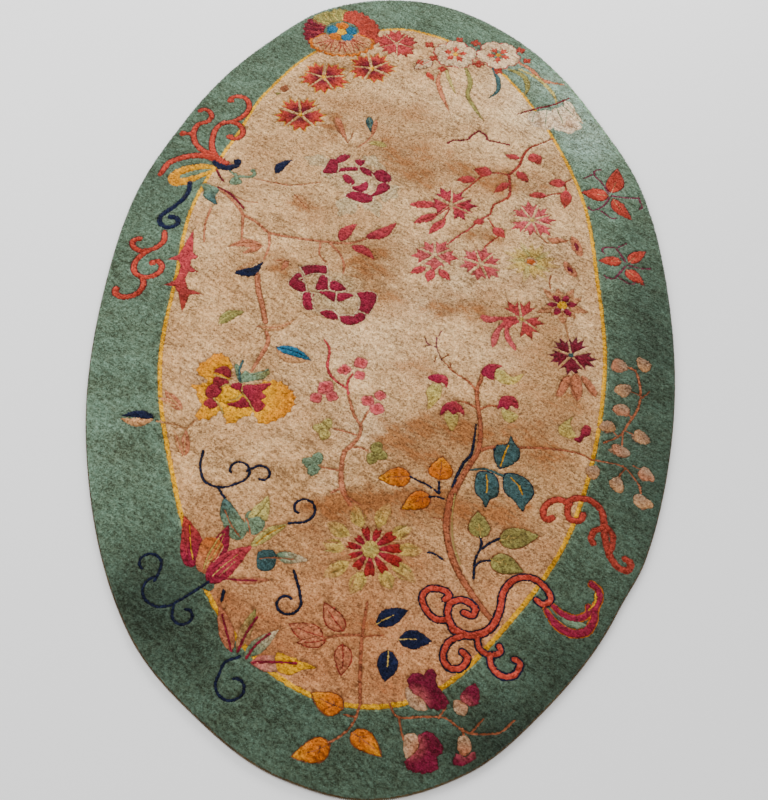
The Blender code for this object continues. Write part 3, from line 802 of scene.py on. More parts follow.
def drawLilies():
    shape(((-312, -684), (-292, -684), (-268, -712), (-262, -734), (-276, -738), (-300, -712)), "sage", 3,
        bare=True)
    leaf((-308, -696), (-340, -594), 42, "crimson", bend=-0.06, blunt=0.64, into="poppy", hub=(-300, -680),
        reach=(20, 90))
    for way in (-5, 4):
        vine(((-330 + way, -612), (-322 + way, -650), (-312 + way, -682)), 1.8,
            "rose" if way < 0 else "gold", 6)
    lily((-288, -700), (-256, -604), 40, -0.05, "crimson", "crimson")
    shape(((-298, -642), (-302, -688), (-288, -706), (-274, -700), (-262, -668), (-260, -646),
        (-278, -634)), "salmon", 5, into="orange", hub=(-300, -700), reach=(0, 90))
    vine(((-266, -626), (-276, -650), (-284, -676), (-286, -698)), 3, "butter", 6)
    vine(((-262, -650), (-268, -674), (-278, -690)), 1.8, "ember", 6)
    lily((-276, -722), (-206, -642), 44, 0.04, "crimson", "rose")
    shape(((-272, -550), (-276, -580), (-262, -612), (-244, -634), (-226, -630), (-222, -606), (-238, -586),
        (-252, -568)), "teal", 4, into="mist", hub=(-272, -550), reach=(0, 60))
    vine(((-268, -574), (-252, -604), (-232, -628)), 2.6, "salmon", 6)
    vine(((-226, -588), (-218, -606), (-214, -622)), 2.6, "salmon", 6)
    shape(((-228, -578), (-212, -572), (-196, -584), (-190, -602), (-206, -622), (-222, -612)), "mist", 4)
    shape(((-192, -538), (-186, -560), (-188, -590), (-204, -584), (-222, -586), (-216, -566),
        (-204, -552)), "lime", 5)
    vine(((-192, -548), (-200, -568), (-208, -582)), 2, "olive", 6)
    shape(((-150, -596), (-168, -598), (-186, -606), (-206, -630), (-208, -646), (-190, -638),
        (-172, -622)), "lime", 5)
    vine(((-154, -598), (-180, -616), (-202, -640)), 2.4, "gold", 6)
    shape(((-196, -660), (-186, -650), (-168, -650), (-160, -664), (-164, -684), (-176, -692),
        (-192, -686)), "teal", 5)
    shape(((-162, -656), (-146, -650), (-124, -654), (-104, -664), (-126, -672), (-148, -672)), "mist", 4,
        into="ivory", hub=(-162, -660), reach=(10, 60))
    vine(((-190, -668), (-164, -664), (-130, -664)), 2.6, "salmon", 6)
    leaf((-160, -672), (-128, -690), 11, "tan", layer=4)
    vine(((-262, -712), (-222, -713), (-190, -711)), 3.6, "crimson")
    leaf((-232, -716), (-164, -708), 14, "salmon", layer=4)
    # spears at the foot
    leaf((-214, -846), (-248, -762), 26, "salmon", "crimson", blunt=0.8, veinWidth=4.4, veinEnd=0.8)
    leaf((-206, -846), (-184, -764), 22, "olive", blunt=0.9, into="tan", hub=(-184, -764), reach=(10, 70))
    vine(((-204, -846), (-194, -812), (-180, -780)), 4.6, "crimson", 6)
    leaf((-192, -854), (-140, -800), 26, "mist", blunt=0.8, into="ivory", hub=(-192, -854), reach=(20, 80))
    vine(((-188, -856), (-176, -832), (-154, -808)), 4.6, "crimson", 6)
    shape(((-180, -862), (-166, -850), (-146, -846), (-130, -850), (-132, -872), (-152, -876),
        (-168, -870)), "shell", 4, into="blush", hub=(-180, -862), reach=(60, 0))
    shape(((-138, -842), (-116, -846), (-98, -852), (-68, -862), (-92, -868), (-112, -878), (-134, -870)),
        "gold", 5)
    vine(((-176, -862), (-140, -858), (-102, -857)), 4.2, "crimson", 6)


def drawLowSprig():
    vine(((8, -735), (4, -800), (6, -870), (10, -918)), (4, 6, 5), "bark", 4)
    vine(((5, -797), (-28, -800), (-62, -808)), 4.5, "bark", 4)
    vine(((6, -800), (40, -794)), 3, "bark", 4)
    for base, tip, width in (((-30, -792), (-66, -744), 30), ((-64, -806), (-122, -788), 32), ((-28, -818),
            (-26, -870), 28), ((-58, -812), (-104, -820), 18)):
        leaf(base, tip, width, "salmon", "ember", 0.04, 0, edge="ember", edgeWidth=2.0, layer=4.5,
            veinWidth=2.0)
    for base, tip, width in (((26, -776), (80, -744), 33), ((66, -800), (124, -798), 36), ((50, -820),
            (48, -876), 37)):
        leaf(base, tip, width, "navy", "butter", 0.03, blunt=0.8, veinWidth=2.4, veinEnd=0.62)


def drawLowScrolls():
    # red scrolls edged in navy
    red = {"dye": "poppy", "layer": 6, "edge": "navy", "edgeWidth": 3.0}
    for points, width in (
            (((152, -756), (128, -756), (110, -738), (104, -716), (116, -700), (140, -700), (152, -710),
              (144, -718)), 9.5),
            (((162, -776), (150, -748), (154, -724), (176, -716), (196, -728), (194, -744), (178, -740)),
             10),
            (((158, -772), (188, -782), (222, -768), (240, -734), (248, -694), (268, -668), (296, -662),
              (320, -676), (332, -700), (318, -712), (306, -704)), (12, 11, 10, 10, 9)),
            (((178, -782), (154, -796), (144, -822), (154, -842), (174, -842), (186, -824), (176, -812)),
             9.5),
            (((202, -782), (206, -804), (224, -814), (242, -808), (240, -796)), 8.5),
            (((224, -814), (228, -836), (246, -850), (266, -846), (276, -826), (266, -818)), 9)):
        vine(points, width, **red)
    # slim crimson bud with golden edges
    bud = {"dye": "crimson", "layer": 6, "edge": "orange", "edgeWidth": 2.0}
    vine(((334, -712), (352, -728), (376, -734), (396, -724), (398, -708)), (7, 12, 12, 8), **bud)
    vine(((322, -722), (340, -748), (366, -762), (392, -756), (406, -736), (410, -712), (418, -694),
        (418, -676), (406, -664)), (8, 14, 15, 12, 11, 12), **bud)
    vine(((398, -716), (410, -702), (412, -684)), 3, "gold", 7)
    shape(((340, -722), (360, -738), (386, -740), (394, -748), (370, -752), (352, -742)), "mist", 5)
    # red scrolls at the right end of the line
    plain = {"dye": "poppy", "layer": 6, "edge": "ember", "edgeWidth": 1.8, "into": "ember",
        "hub": (330, -500), "reach": (0, 190)}
    for points, width in (
            (((374, -500), (352, -494), (332, -504), (322, -524), (328, -540), (340, -534)), 10),
            (((372, -498), (368, -516), (372, -534), (390, -536), (398, -522)), 10),
            (((366, -500), (386, -488), (412, -490), (432, -510), (436, -540), (436, -566), (442, -602),
              (456, -626), (474, -632), (480, -616), (470, -608)), (10, 11, 10, 10, 9)),
            (((436, -540), (450, -560), (448, -586), (440, -600)), 8),
            (((434, -548), (416, -556), (410, -572), (414, -582)), 8.5)):
        vine(points, width, **plain)


def drawNearBorder():
    for base, tip, width in (((-18, -928), (-72, -906), 38), ((-34, -988), (-92, -1012), 38), ((0, -966),
            (50, -1000), 33)):
        leaf(base, tip, width, "orange", "brown", 0.04, 1, blunt=0.66, edge="brown", edgeWidth=1.6,
            veinWidth=1.8, into="gold", hub=tip, reach=(34, -30))
    vine(((10, -918), (2, -948), (-14, -970), (-36, -986)), 4, "bark", 4)
    vine(((-14, -938), (6, -940)), 3.4, "bark", 4)
    for points in (((58, -914), (74, -934), (120, -930), (152, -930), (188, -950), (238, -947),
            (266, -924)), ((75, -935), (80, -956), (86, -972)), ((180, -944), (184, -966)), ((194, -950),
            (214, -926)), ((140, -930), (152, -912))):
        vine(points, 3.6, "bark", 4)
    # magenta buds with pale lower halves
    for deep, pale in ((((86, -870), (98, -856), (112, -858), (122, -847), (134, -854), (134, -872),
            (146, -886), (156, -904), (144, -916), (124, -914), (110, -898), (96, -892)), ((84, -884),
            (100, -888), (114, -902), (122, -918), (102, -920), (88, -908))), (((178, -884), (188, -872),
            (200, -867), (207, -880), (205, -900), (192, -906), (176, -896)), ((164, -900), (178, -898),
            (188, -908), (184, -922), (168, -920))), (((108, -962), (126, -954), (142, -966), (150, -984),
            (140, -994), (142, -1012), (126, -1021), (100, -1020), (88, -1006), (102, -994), (110, -980)),
            ((86, -964), (104, -960), (110, -978), (102, -994), (88, -998))), (((170, -986), (186, -990),
            (200, -980), (203, -1000), (192, -1014), (178, -1006), (166, -1002)), ((174, -960), (188, -957),
            (196, -974), (186, -988), (174, -982)))):
        shape(pale, "shell", 4, into="salmon", hub=np.mean(deep, axis=0), reach=(34, 14))
        add(ruffled(deep, 4.0, 0.035, 2.2), "magenta", 5, into="blush", hub=np.mean(pale, axis=0),
            reach=(28, 2))


def drawRightBorder():
    for points, curl in ((((500, 360), (486, 392), (470, 416)), (18, -130, 0.7)), (((462, 420), (442, 404)),
            None), (((505, 352), (545, 349), (572, 352)), (16, 120, 0.7)), (((570, 346), (576, 328)),
            (12, -80, 0.7)), (((500, 345), (486, 318), (466, 300)), (12, -120, 0.7)), (((478, 298),
            (496, 280)), (16, 60, 0.7)), (((524, 138), (506, 178), (486, 182)), (14, 140, 0.7)),
            (((510, 184), (530, 198)), None), (((530, 130), (556, 124), (578, 124)), None), (((522, 126),
            (500, 92)), (18, -120, 0.7)), (((506, 90), (524, 76)), (14, 70, 0.7))):
        vine(points, 4.6, "plum", 4, curl)
    for base, tip, width, bend in (((506, 364), (524, 448), 40, -0.05), ((497, 350), (436, 356), 40, 0.0),
            ((508, 340), (548, 276), 30, -0.05), ((514, 140), (464, 138), 28, 0.0), ((532, 140), (572, 178),
            28, 0.04), ((524, 116), (560, 74), 28, 0.0)):
        leaf(base, tip, width, "poppy", "salmon", bend, 0, blunt=0.7, edge="maroon", edgeWidth=1.6,
            veinWidth=3.2, veinEnd=0.5, into="ember", hub=base, reach=(10, 90))
    vine(((508, -162), (524, -174), (529, -226), (520, -266), (500, -302), (478, -336), (446, -356)),
        (5, 5, 4), "bark", 4)
    for n, (x, y, across, along, turn) in enumerate(((490, -160, 34, 36, 20), (541, -152, 28, 40, 70),
            (494, -222, 36, 32, 10), (487, -272, 30, 36, 60), (456, -316, 28, 34, 100),
            (522, -336, 38, 28, 20), (478, -372, 40, 26, 5), (421, -426, 28, 32, 80),
            (466, -450, 28, 36, 75), (524, -422, 28, 36, 60), (512, -484, 28, 40, 100))):
        # a bud, one side of it flushed, with its husk
        tip = polar((x, y), across * 0.26, turn + 180)
        blot(tip, across * 0.62, along * 0.6, n * 30, 3, 0.1, "brown" if n % 2 else "salmon", 5,
            into="husk", hub=(x, y), reach=(4, 20))
        blot((x, y), across * 0.98, along * 0.98, n * 24, 3, 0.09, "husk", 6,
            into="tan" if n % 3 else "salmon", hub=polar((x, y), across * 0.5, turn),
            reach=(across * 0.3, across * 1.1))
    for points in (((526, -232), (510, -224)), ((508, -292), (498, -280)), ((490, -322), (506, -330)),
            ((476, -340), (466, -326)), ((486, -326), (482, -358)), ((486, -410), (476, -424), (468, -436)),
            ((500, -404), (516, -412)), ((508, -446), (511, -466)), ((529, -240), (548, -220))):
        vine(points, 3.4, "bark", 4)


for draw in (drawFarEnd, drawCarnations, drawLeftScrolls, drawLeftVines, drawPeonies, drawDarkScrolls,
        drawMiddleSprig, drawPrunus, drawTrunk, drawChrysanthemum, drawLilies, drawLowSprig, drawLowScrolls,
        drawNearBorder, drawRightBorder):
    draw()
patches.sort(key=lambda patch: patch["layer"])
print("drawn", len(patches), "patches")


def kept(outline, inset=15.0):
    # holds an outline inside the rug, clear of its rim
    halfWide, halfLong = rugSizes["width"] * 500 - inset, rugSizes["length"] * 500 - inset
    turn = np.arctan2(outline[:, 1] / halfLong, outline[:, 0] / halfWide)
    room = 1 + np.array([drift(edgeDrift, math.degrees(t)) for t in turn]) / 700
    size = np.hypot(outline[:, 0] / halfWide, outline[:, 1] / halfLong)
    return outline * np.minimum(1, room / np.maximum(size, 1e-9))[:, None]


def stepped(outline, step):
    # long sides get points between, and points that nearly meet go
    closed = np.concatenate([outline, outline[:1]])
    line = []
    for a, b in zip(closed, closed[1:]):
        far = np.linalg.norm(b - a)
        count = max(1, int(round(far / step)))
        line.extend(a + (b - a) * k / count for k in range(count))
    thin = [line[0]]
    for point in line[1:]:
        if np.linalg.norm(point - thin[-1]) > step * 0.5:
            thin.append(point)
    if len(thin) > 3 and np.linalg.norm(thin[0] - thin[-1]) < step * 0.45:
        thin.pop()
    return np.array(thin)


def inside(points, outline):
    # nonzero winding of each point
    wind = np.zeros(len(points), int)
    x, y = points[:, 0], points[:, 1]
    for (ax, ay), (bx, by) in zip(outline, np.roll(outline, -1, axis=0)):
        left = (bx - ax) * (y - ay) - (x - ax) * (by - ay)
        wind += ((ay <= y) & (by > y) & (left > 0)).astype(int)
        wind -= ((ay > y) & (by <= y) & (left < 0)).astype(int)
    return wind != 0


def searchable(points):
    tree = kdtree.KDTree(len(points))
    for n, (x, y) in enumerate(points):
        tree.insert((x, y, 0), n)
    tree.balance()
    return tree


def makeSkin():
    # every outline is a chain of edges in one triangulation of the pile's top
    ringCount, step = rugSizes["round"], rugSizes["outlineStep"]
    chains = [edgeRing(rugSizes["rimRings"][-1][0] * 1000, ringCount)]
    for patch in patches:
        outline = stepped(kept(patch["outline"]), step)
        outline = outline + dice.uniform(-0.75, 0.75, outline.shape)
        patch["outline"] = outline
        chains.append(outline)
    points, edges = [], []
    for chain in chains:
        start = len(points)
        points.extend(chain.tolist())
        edges.extend((start + k, start + (k + 1) % len(chain)) for k in range(len(chain)))
    onLines = len(points)
    near = searchable(points)
    # shoulders of the carved valleys
    reach = rugSizes["carveReach"]
    for chain in chains[1:]:
        ahead = np.roll(chain, -1, axis=0) - np.roll(chain, 1, axis=0)
        ahead /= np.maximum(np.linalg.norm(ahead, axis=1, keepdims=True), 1e-9)
        side = np.stack([-ahead[:, 1], ahead[:, 0]], 1)
        for way in (-1, 1):
            for x, y in (chain + side * reach * way)[::2]:
                if near.find((x, y, 0))[2] > reach * 0.86:
                    points.append([x, y])
    shoulders = len(points) - onLines
    # open pile between them
    near = searchable(points)
    fill = rugSizes["fillStep"]
    wide, long = rugSizes["sown"]
    rows = np.arange(-long, long, fill * 0.866)
    rim = chains[0]
    grid = np.array([(x + fill / 2 * (n % 2), y) for n, y in enumerate(rows)
                     for x in np.arange(-wide, wide, fill)])
    grid += dice.uniform(-0.28, 0.28, grid.shape) * fill
    grid = grid[inside(grid, rim)]
    for x, y in grid:
        if near.find((x, y, 0))[2] > fill * 0.52:
            points.append([x, y])
    found = delaunay_2d_cdt([Vector(p) for p in points], edges, [], 0, 0.02, True)
    at = np.array([tuple(v) for v in found[0]])
    faces = np.array(found[2])
    middle = at[faces].mean(1)
    faces = faces[inside(middle, rim)]
    a, b, c = (at[faces[:, k]] for k in range(3))
    turned = (b - a)[:, 0] * (c - a)[:, 1] - (b - a)[:, 1] * (c - a)[:, 0]
    faces = np.where((turned < 0)[:, None], faces[:, ::-1], faces)[np.abs(turned) > 1e-4]
    ring = np.zeros(ringCount, int)
    for new, old in enumerate(found[3]):
        for k in old:
            if k < ringCount:
                ring[k] = new
    print("skin", len(at), "points", len(faces), "triangles", shoulders, "shoulders")
    return at, faces, ring


topAt, topFaces, rimRing = makeSkin()

# which patch shows on each triangle
middles = topAt[topFaces].mean(1)
owner = np.full(len(topFaces), -1)
for index, patch in enumerate(patches):
    low, high = patch["outline"].min(0), patch["outline"].max(0)
    near = np.nonzero(((middles >= low) & (middles <= high)).all(1))[0]
    owner[near[inside(middles[near], patch["outline"])]] = -1 if patch["bare"] else index

# stains in the field: place, reach across and along, strength
stains = (
    (60, 425, 100, 40, 0.5), (45, 370, 60, 44, 0.7), (170, 390, 60, 30, 0.5), (270, 375, 46, 34, 0.9),
    (335, 370, 40, 30, 0.6), (400, 330, 30, 50, 0.2), (-45, 70, 40, 80, 0.75), (-120, 120, 60, 26, 0.45),
    (-20, 5, 30, 34, 0.4), (-172, 520, 18, 50, 0.8), (-230, 38, 34, 30, 0.7), (-205, 245, 20, 34, 0.6),
    (-300, 60, 60, 30, 0.25), (118, -36, 44, 30, 0.75), (205, -28, 36, 40, 0.6), (250, -70, 46, 50, 0.4),
    (95, -365, 78, 34, 1.0), (30, -392, 34, 24, 0.7), (150, -330, 44, 40, 0.75), (200, -345, 50, 40, 0.6),
    (110, -430, 90, 40, 0.55), (140, -540, 40, 60, 0.4), (-50, -555, 62, 28, 0.9), (10, -524, 60, 22, 1.0),
    (80, -530, 60, 34, 0.9), (170, -520, 50, 34, 0.5), (245, -525, 50, 34, 0.4), (-165, 605, 50, 46, 0.35),
    (-110, 520, 90, 28, 0.3), (30, -570, 60, 34, 0.6), (-95, -590, 30, 34, 0.6), (80, -630, 40, 60, 0.55),
    (-60, -660, 40, 40, 0.4), (330, -330, 80, 50, 0.5), (260, -400, 90, 60, 0.45),
    (330, -430, 60, 60, 0.4), (250, -560, 60, 60, 0.3), (300, -600, 50, 50, 0.3), (190, -600, 40, 70, 0.3),
    (350, 85, 50, 30, 0.25), (410, 160, 30, 50, 0.3), (190, 186, 50, 20, 0.75), (300, 40, 60, 20, 0.2),
    (340, -60, 50, 40, 0.4), (350, -160, 80, 50, 0.4), (390, -250, 50, 60, 0.4), (330, -230, 80, 40, 0.3),
    (20, 560, 90, 50, 0.3), (-20, 420, 40, 60, 0.4), (-40, 600, 90, 40, 0.3), (20, 480, 60, 30, 0.45),
    (-60, 440, 60, 30, 0.45), (220, 350, 60, 40, 0.5), (-330, 350, 60, 100, 0.24),
    (-235, 385, 60, 50, 0.14), (-240, 455, 70, 40, 0.12), (-250, -790, 34, 60, 0.8),
    (-190, -800, 40, 50, 0.35), (-60, -800, 90, 60, 0.3), (40, -880, 90, 30, 0.4),
    (170, -700, 60, 70, 0.3), (110, -760, 90, 50, 0.25), (-300, -600, 40, 60, 0.3),
    (-160, 205, 100, 34, 0.25), (0, 120, 44, 40, 0.3), (-75, 40, 44, 36, 0.3), (0, -45, 40, 40, 0.35),
    (75, -205, 44, 30, 0.4), (0, -690, 50, 30, 0.3), (-5, -765, 44, 34, 0.3), (-150, -845, 50, 30, 0.3),
    (-180, -640, 50, 60, 0.3),
)
# painted light and shade on the border, along with faded and darker wool: place, reach, how much of its
# light is left
shadedAndFaded = (
    (-370, -770, 140, 130, 0.34), (-250, -880, 120, 70, 0.62), (-150, -1000, 260, 90, 0.62),
    (90, -1040, 180, 90, 0.66), (250, -960, 150, 90, 0.36), (400, -830, 190, 190, 0.38),
    (540, -480, 130, 230, 0.42), (570, -90, 120, 260, 0.45), (560, 180, 90, 120, 0.85),
    (460, 610, 100, 140, 2.45), (345, 790, 130, 90, 1.7), (-440, 740, 110, 120, 0.88),
    (-540, -140, 100, 200, 1.1), (-500, -460, 110, 120, 1.15), (530, 400, 80, 80, 1.15),
    (486, 110, 34, 150, 1.3), (-560, 260, 60, 150, 0.78), (-330, 830, 70, 70, 0.84),
    (-40, -930, 130, 40, 0.76), (440, 500, 60, 60, 1.2),
)

# where the field is paler and bluer, painted light along with paler wool: place, reach, share
litAndWashed = (
    (-100, -150, 90, 60, 0.9), (60, -190, 120, 90, 0.8), (120, 20, 90, 80, 0.8), (60, 150, 60, 60, 0.6),
    (230, -140, 90, 60, 0.6), (-30, -330, 60, 60, 0.7), (-200, -420, 90, 60, 0.6), (20, -100, 60, 60, 0.6),
    (230, 480, 70, 60, 0.4), (330, 560, 60, 60, 0.6), (150, 650, 120, 60, 0.4), (-20, 680, 90, 50, 0.3),
    (330, 30, 60, 50, 0.3), (-400, 60, 40, 120, 0.4), (-230, -560, 50, 70, 0.4), (40, 250, 40, 40, 0.3),
    (260, -470, 50, 40, 0.4), (70, -480, 50, 30, 0.3), (-250, -150, 60, 60, 0.3), (285, 640, 80, 110, 0.9),
    (230, 725, 100, 50, 0.5), (350, 520, 50, 60, 0.5), (120, 700, 90, 60, 0.4), (280, 770, 60, 50, 0.6),
    (330, 640, 60, 90, 0.7), (350, 330, 70, 50, 0.7), (280, 270, 70, 50, 0.5), (380, 190, 70, 60, 0.6),
    (340, 115, 70, 44, 0.7), (110, 120, 70, 44, 0.5), (165, 45, 60, 40, 0.8), (370, 40, 70, 40, 0.8),
    (80, -40, 50, 40, 1.0), (240, 80, 40, 60, 0.5), (415, -60, 44, 60, 0.8), (420, -200, 34, 60, 0.6),
    (-400, -240, 44, 70, 0.5), (-120, -200, 70, 50, 0.5), (-60, -230, 60, 80, 0.5),
    (-10, -390, 70, 50, 0.3), (-160, -285, 44, 40, 0.7), (-20, -370, 70, 40, 1.0),
    (-80, -440, 50, 40, 0.6), (-320, -500, 60, 90, 0.5), (-80, -500, 40, 26, 0.9),
    (250, -610, 90, 44, 0.9), (160, -690, 44, 50, 0.9), (110, -770, 60, 40, 0.6), (-200, 520, 60, 40, 0.3),
    (-320, 290, 50, 50, 0.3), (335, 660, 70, 100, 1.1), (240, 780, 60, 50, 0.6), (140, 600, 80, 50, 0.5),
    (420, -200, 30, 50, 0.7), (10, 440, 50, 30, 0.4), (-30, -370, 60, 30, 0.4),
)


def spots(table, at):
    # each row's value, and how far off its middle each point is
    for x, y, across, along, value in table:
        yield value, ((at[:, 0] - x) / across) ** 2 + ((at[:, 1] - y) / along) ** 2


def litAndWashedAt(at):
    return np.minimum(sum(share * np.exp(-far) for share, far in spots(litAndWashed, at)), 2.2)[:, None]


# painted light and shade on the border, with its faded wool, as the share of light left at each point
def shadeAndFadeAt(at):
    light = np.ones(len(at))
    for left, far in spots(shadedAndFaded, at):
        light *= 1 + (left - 1) * np.exp(-far)
    return light


def stainAt(at):
    # their edges run out in ragged tongues
    u = at[:, 0] + 16 * np.sin(at[:, 1] / 8 + 3 * np.sin(at[:, 0] / 31)) + 8 * np.sin(at[:, 1] / 3.7)
    v = at[:, 1] + 8 * np.sin(at[:, 0] / 13 + 2.4 * np.sin(at[:, 1] / 23)) + 4 * np.sin(at[:, 0] / 5.3)
    clean = np.ones(len(at))
    for strength, far in spots(stains, np.stack([u, v], 1)):
        clean *= 1 - strength * np.exp(-0.66 * far ** 1.6)
    return 1 - clean


def coloursAt(at, who):
    # linear colours of corners, each by the patch it belongs to
    colours = np.empty((len(at), 3))
    for index in np.unique(who):
        mine = who == index
        if index < 0:
            colours[mine] = woolColour("sage")
            continue
        patch = patches[index]
        low, high = patch["reach"]
        far = np.linalg.norm(at[mine] - patch["hub"], axis=1)
        share = np.clip((far - low) / (high - low), 0, 1)[:, None]
        tone = 1 + 0.05 * math.sin(index * 12.9)
        colours[mine] = (patch["dye"] * (1 - share) + patch["into"] * share) * tone
    return colours


corners = topAt[topFaces].reshape(-1, 2)
cornerOwner = np.repeat(owner, 3)
level = np.array([patches[who]["layer"] if who >= 0 else 0 for who in cornerOwner])
field, border = (level == 2)[:, None], (cornerOwner < 0)[:, None]

# shares of red, green and blue light that the field loses towards the near end, then close to it,
# and that the field gains where it is painted lighter and paler, and the border where it is painted lightest
tints = {"warm": np.array([0.06, 0.16, 0.26]), "glow": np.array([0.06, 0.22, 0.24]),
         "litWash": np.array([0.11, 0.2, 0.34]), "cool": np.array([0.09, 0.01, 0.17])}


def nearer(start, length):
    # a share of the field that grows towards the near end
    return np.clip((start - corners[:, 1]) / length, 0, 1)[:, None] * field


topColours = coloursAt(corners, cornerOwner)
topColours *= 1 - nearer(250, 1150) * tints["warm"]
topColours *= 1 - nearer(-500, 300) * tints["glow"]
# painted light on the field, along with paler wool
topColours *= 1 + litAndWashedAt(corners) * field * tints["litWash"]
# painted light and shade over the border, along with its faded wool; motifs take a quarter of it, the field
# none
shadeAndFade = shadeAndFadeAt(corners)[:, None]
topColours *= np.where(border, shadeAndFade, np.where(field, 1, 1 + (shadeAndFade - 1) * 0.25))
# where the border is painted lightest it also turns a little bluer
topColours *= 1 + np.clip(shadeAndFade - 1, 0, 1.2) * border * tints["cool"]
# motifs take half of a stain, the border none
stainHere = stainAt(corners) * np.select([level == 2, level <= 2], [1.0, 0.0], 0.5)

# a valley runs wherever two patches meet
carved = np.zeros(len(topAt))
sides = {}
for n, (a, b, c) in enumerate(topFaces.tolist()):
    for side in ((a, b), (b, c), (c, a)):
        sides.setdefault((min(side), max(side)), set()).add(owner[n])
for side, both in sides.items():
    if len(both) == 2:
        depth = 1.0 if patches[max(both)]["carve"] else 0.35
        for end in side:
            carved[end] = max(carved[end], depth)
print("coloured and carved")


def pileHeight(at):
    # metres; the pile's full height with its slow waves and uneven clipping
    x, y = at[:, 0] / 1000, at[:, 1] / 1000
    height = np.full(len(at), rugSizes["thick"])
    for across, along, rise in rugSizes["waves"]:
        height += rise * np.sin(across * x + along * y)
    lumps = np.array([noise.noise((px * 26, py * 26, 0)) + 0.6 * noise.noise((px * 70, py * 70, 4))
                      for px, py in zip(x, y)])
    uneven = rugSizes["uneven"]
    return height + rugSizes["lumps"] * lumps + dice.uniform(-uneven, uneven, len(at))


rimTree = searchable(edgeRing(0, 4000))
inset = np.array([rimTree.find((x, y, 0))[2] for x, y in topAt]) / 1000
rimInset, rimHeight = rugSizes["rimRings"][-1]
share = np.sin(np.clip((inset - rimInset) / (rugSizes["rimEnd"] - rimInset), 0, 1) * math.pi / 2)
topZ = rimHeight + (pileHeight(topAt) - rimHeight) * share - rugSizes["carve"] * carved * share
topZ[rimRing] = rimHeight
topZ -= rugSizes["tuftRoom"]


skin = {"verts": [], "faces": [], "dye": [], "stain": [], "back": [], "tufted": []}


def addFaces(faces, colours, marks, back=0.0, tufted=False):
    skin["faces"].extend(faces)
    skin["dye"].extend(colours)
    skin["stain"].extend(marks)
    skin["back"].extend([back] * len(faces))
    skin["tufted"].extend([tufted] * len(faces))


def linked(name, data):
    made = bpy.data.objects.new(name, data)
    bpy.context.collection.objects.link(made)
    return made


def woolMesh(name, verts, faces, colours, marks, grooves, backs):
    mesh = bpy.data.meshes.new(name)
    mesh.from_pydata(verts, [], faces)
    paint = mesh.attributes.new("dye", "FLOAT_COLOR", "CORNER")
    full = np.array([(*colour, 1.0) for face in colours for colour in face], np.float32)
    paint.data.foreach_set("color", full.ravel())
    for label, domain, values in (("stain", "CORNER", [v for face in marks for v in face]),
                                  ("carved", "POINT", grooves), ("back", "FACE", backs)):
        mesh.attributes.new(label, "FLOAT", domain).data.foreach_set("value", np.array(values, np.float32))
    mesh.polygons.foreach_set("use_smooth", [True] * len(faces))
    return linked(name, mesh)


def makePile():
    # one closed skin: the drawn top, the rim and the flat woven back
    ringCount, room = rugSizes["round"], rugSizes["tuftRoom"]
    verts = skin["verts"]
    verts.extend(np.concatenate([topAt / 1000, topZ[:, None]], 1).tolist())
    addFaces(topFaces.tolist(), topColours.reshape(-1, 3, 3).tolist(), stainHere.reshape(-1, 3).tolist(),
             tufted=True)
    outer = rimRing.tolist()

    def addHoop(ring, tones, back, tufted):
        # a row of quads from the last ring to a new one
        start = len(verts)
        verts.extend(ring)
        quads = [(outer[(n + 1) % ringCount], outer[n], start + n, start + (n + 1) % ringCount)
                 for n in range(ringCount)]
        addFaces(quads, [[tone] * 4 for tone in tones], [[0.0] * 4] * ringCount, back, tufted)
        outer[:] = range(start, start + ringCount)

    for depth, (inset, height) in enumerate(reversed(rugSizes["rimRings"][:-1])):
        pileRing = height > 0.007
        at = edgeRing(inset * 1000 + (room * 800 if pileRing else 0), ringCount) / 1000
        ring = []
        for x, y in at:
            out = 0.00035 * noise.noise((x * 60, y * 60, depth * 0.6)) if pileRing else 0
            ring.append((x * (1 + out / 0.6), y * (1 + out), height - (room * 0.6 if pileRing else 0)))
        # the rim carries the border's painted light and shade as well
        tones = woolColour("sage") * shadeAndFadeAt(at * 1000)[:, None] * (1.0 if pileRing else 0.6)
        addHoop(ring, tones.tolist(), 0.0, pileRing)
    # the back shows the same grounds in flatter wool
    half = rugSizes["line"] * 500
    outside, within = lineRing(half, ringCount) / 1000, lineRing(-half, ringCount) / 1000
    rings = [(outside + (edgeRing(9, ringCount) / 1000 - outside) * share, "sage") for share in (0.66, 0.33)]
    rings += [(outside, "sage"), (within, "gold")]
    rings += [(within * share, "cream") for share in (0.75, 0.5, 0.25)]
    for ring, dye in rings:
        tone = (woolColour(dye) * 0.72).tolist()
        addHoop([(x, y, 0.0001) for x, y in ring], [tone] * ringCount, 1.0, False)
    verts.append((0, 0, 0.0001))
    hubFaces = [(outer[(n + 1) % ringCount], outer[n], len(verts) - 1) for n in range(ringCount)]
    addFaces(hubFaces, [[tone] * 3] * ringCount, [[0.0] * 3] * ringCount, 1.0)
    grooves = np.concatenate([carved, np.zeros(len(verts) - len(carved))])
    made = woolMesh("woolPile", verts, skin["faces"], skin["dye"], skin["stain"], grooves, skin["back"])
    mesh = made.data
    # the map is seen from above for the pile, with the back beside it
    loops = np.empty(len(mesh.loops), np.int32)
    mesh.loops.foreach_get("vertex_index", loops)
    below = np.repeat(np.array(skin["back"]), [len(f) for f in skin["faces"]]) > 0
    at = np.array(verts)[loops, :2] + rugSizes["mapFrom"]
    wide, long = rugSizes["mapSize"]
    uv = np.stack([at[:, 0] / (2 * wide) + 0.5 * below, at[:, 1] / long], 1)
    mesh.uv_layers.new(name="OFBake").uv.foreach_set("vector", uv.astype(np.float32).ravel())
    print("pile", len(mesh.vertices), "points", sum(len(f) - 2 for f in skin["faces"]), "triangles")
    return made, grooves


rug, grooves = makePile()

# overcast edge: one cord and the wool wrapped round it
edgeSizes = {"cordWide": 0.0085, "cordHigh": 0.0056, "wraps": 1750, "slant": 0.35, "yarn": 0.0018,
             "points": 1200}


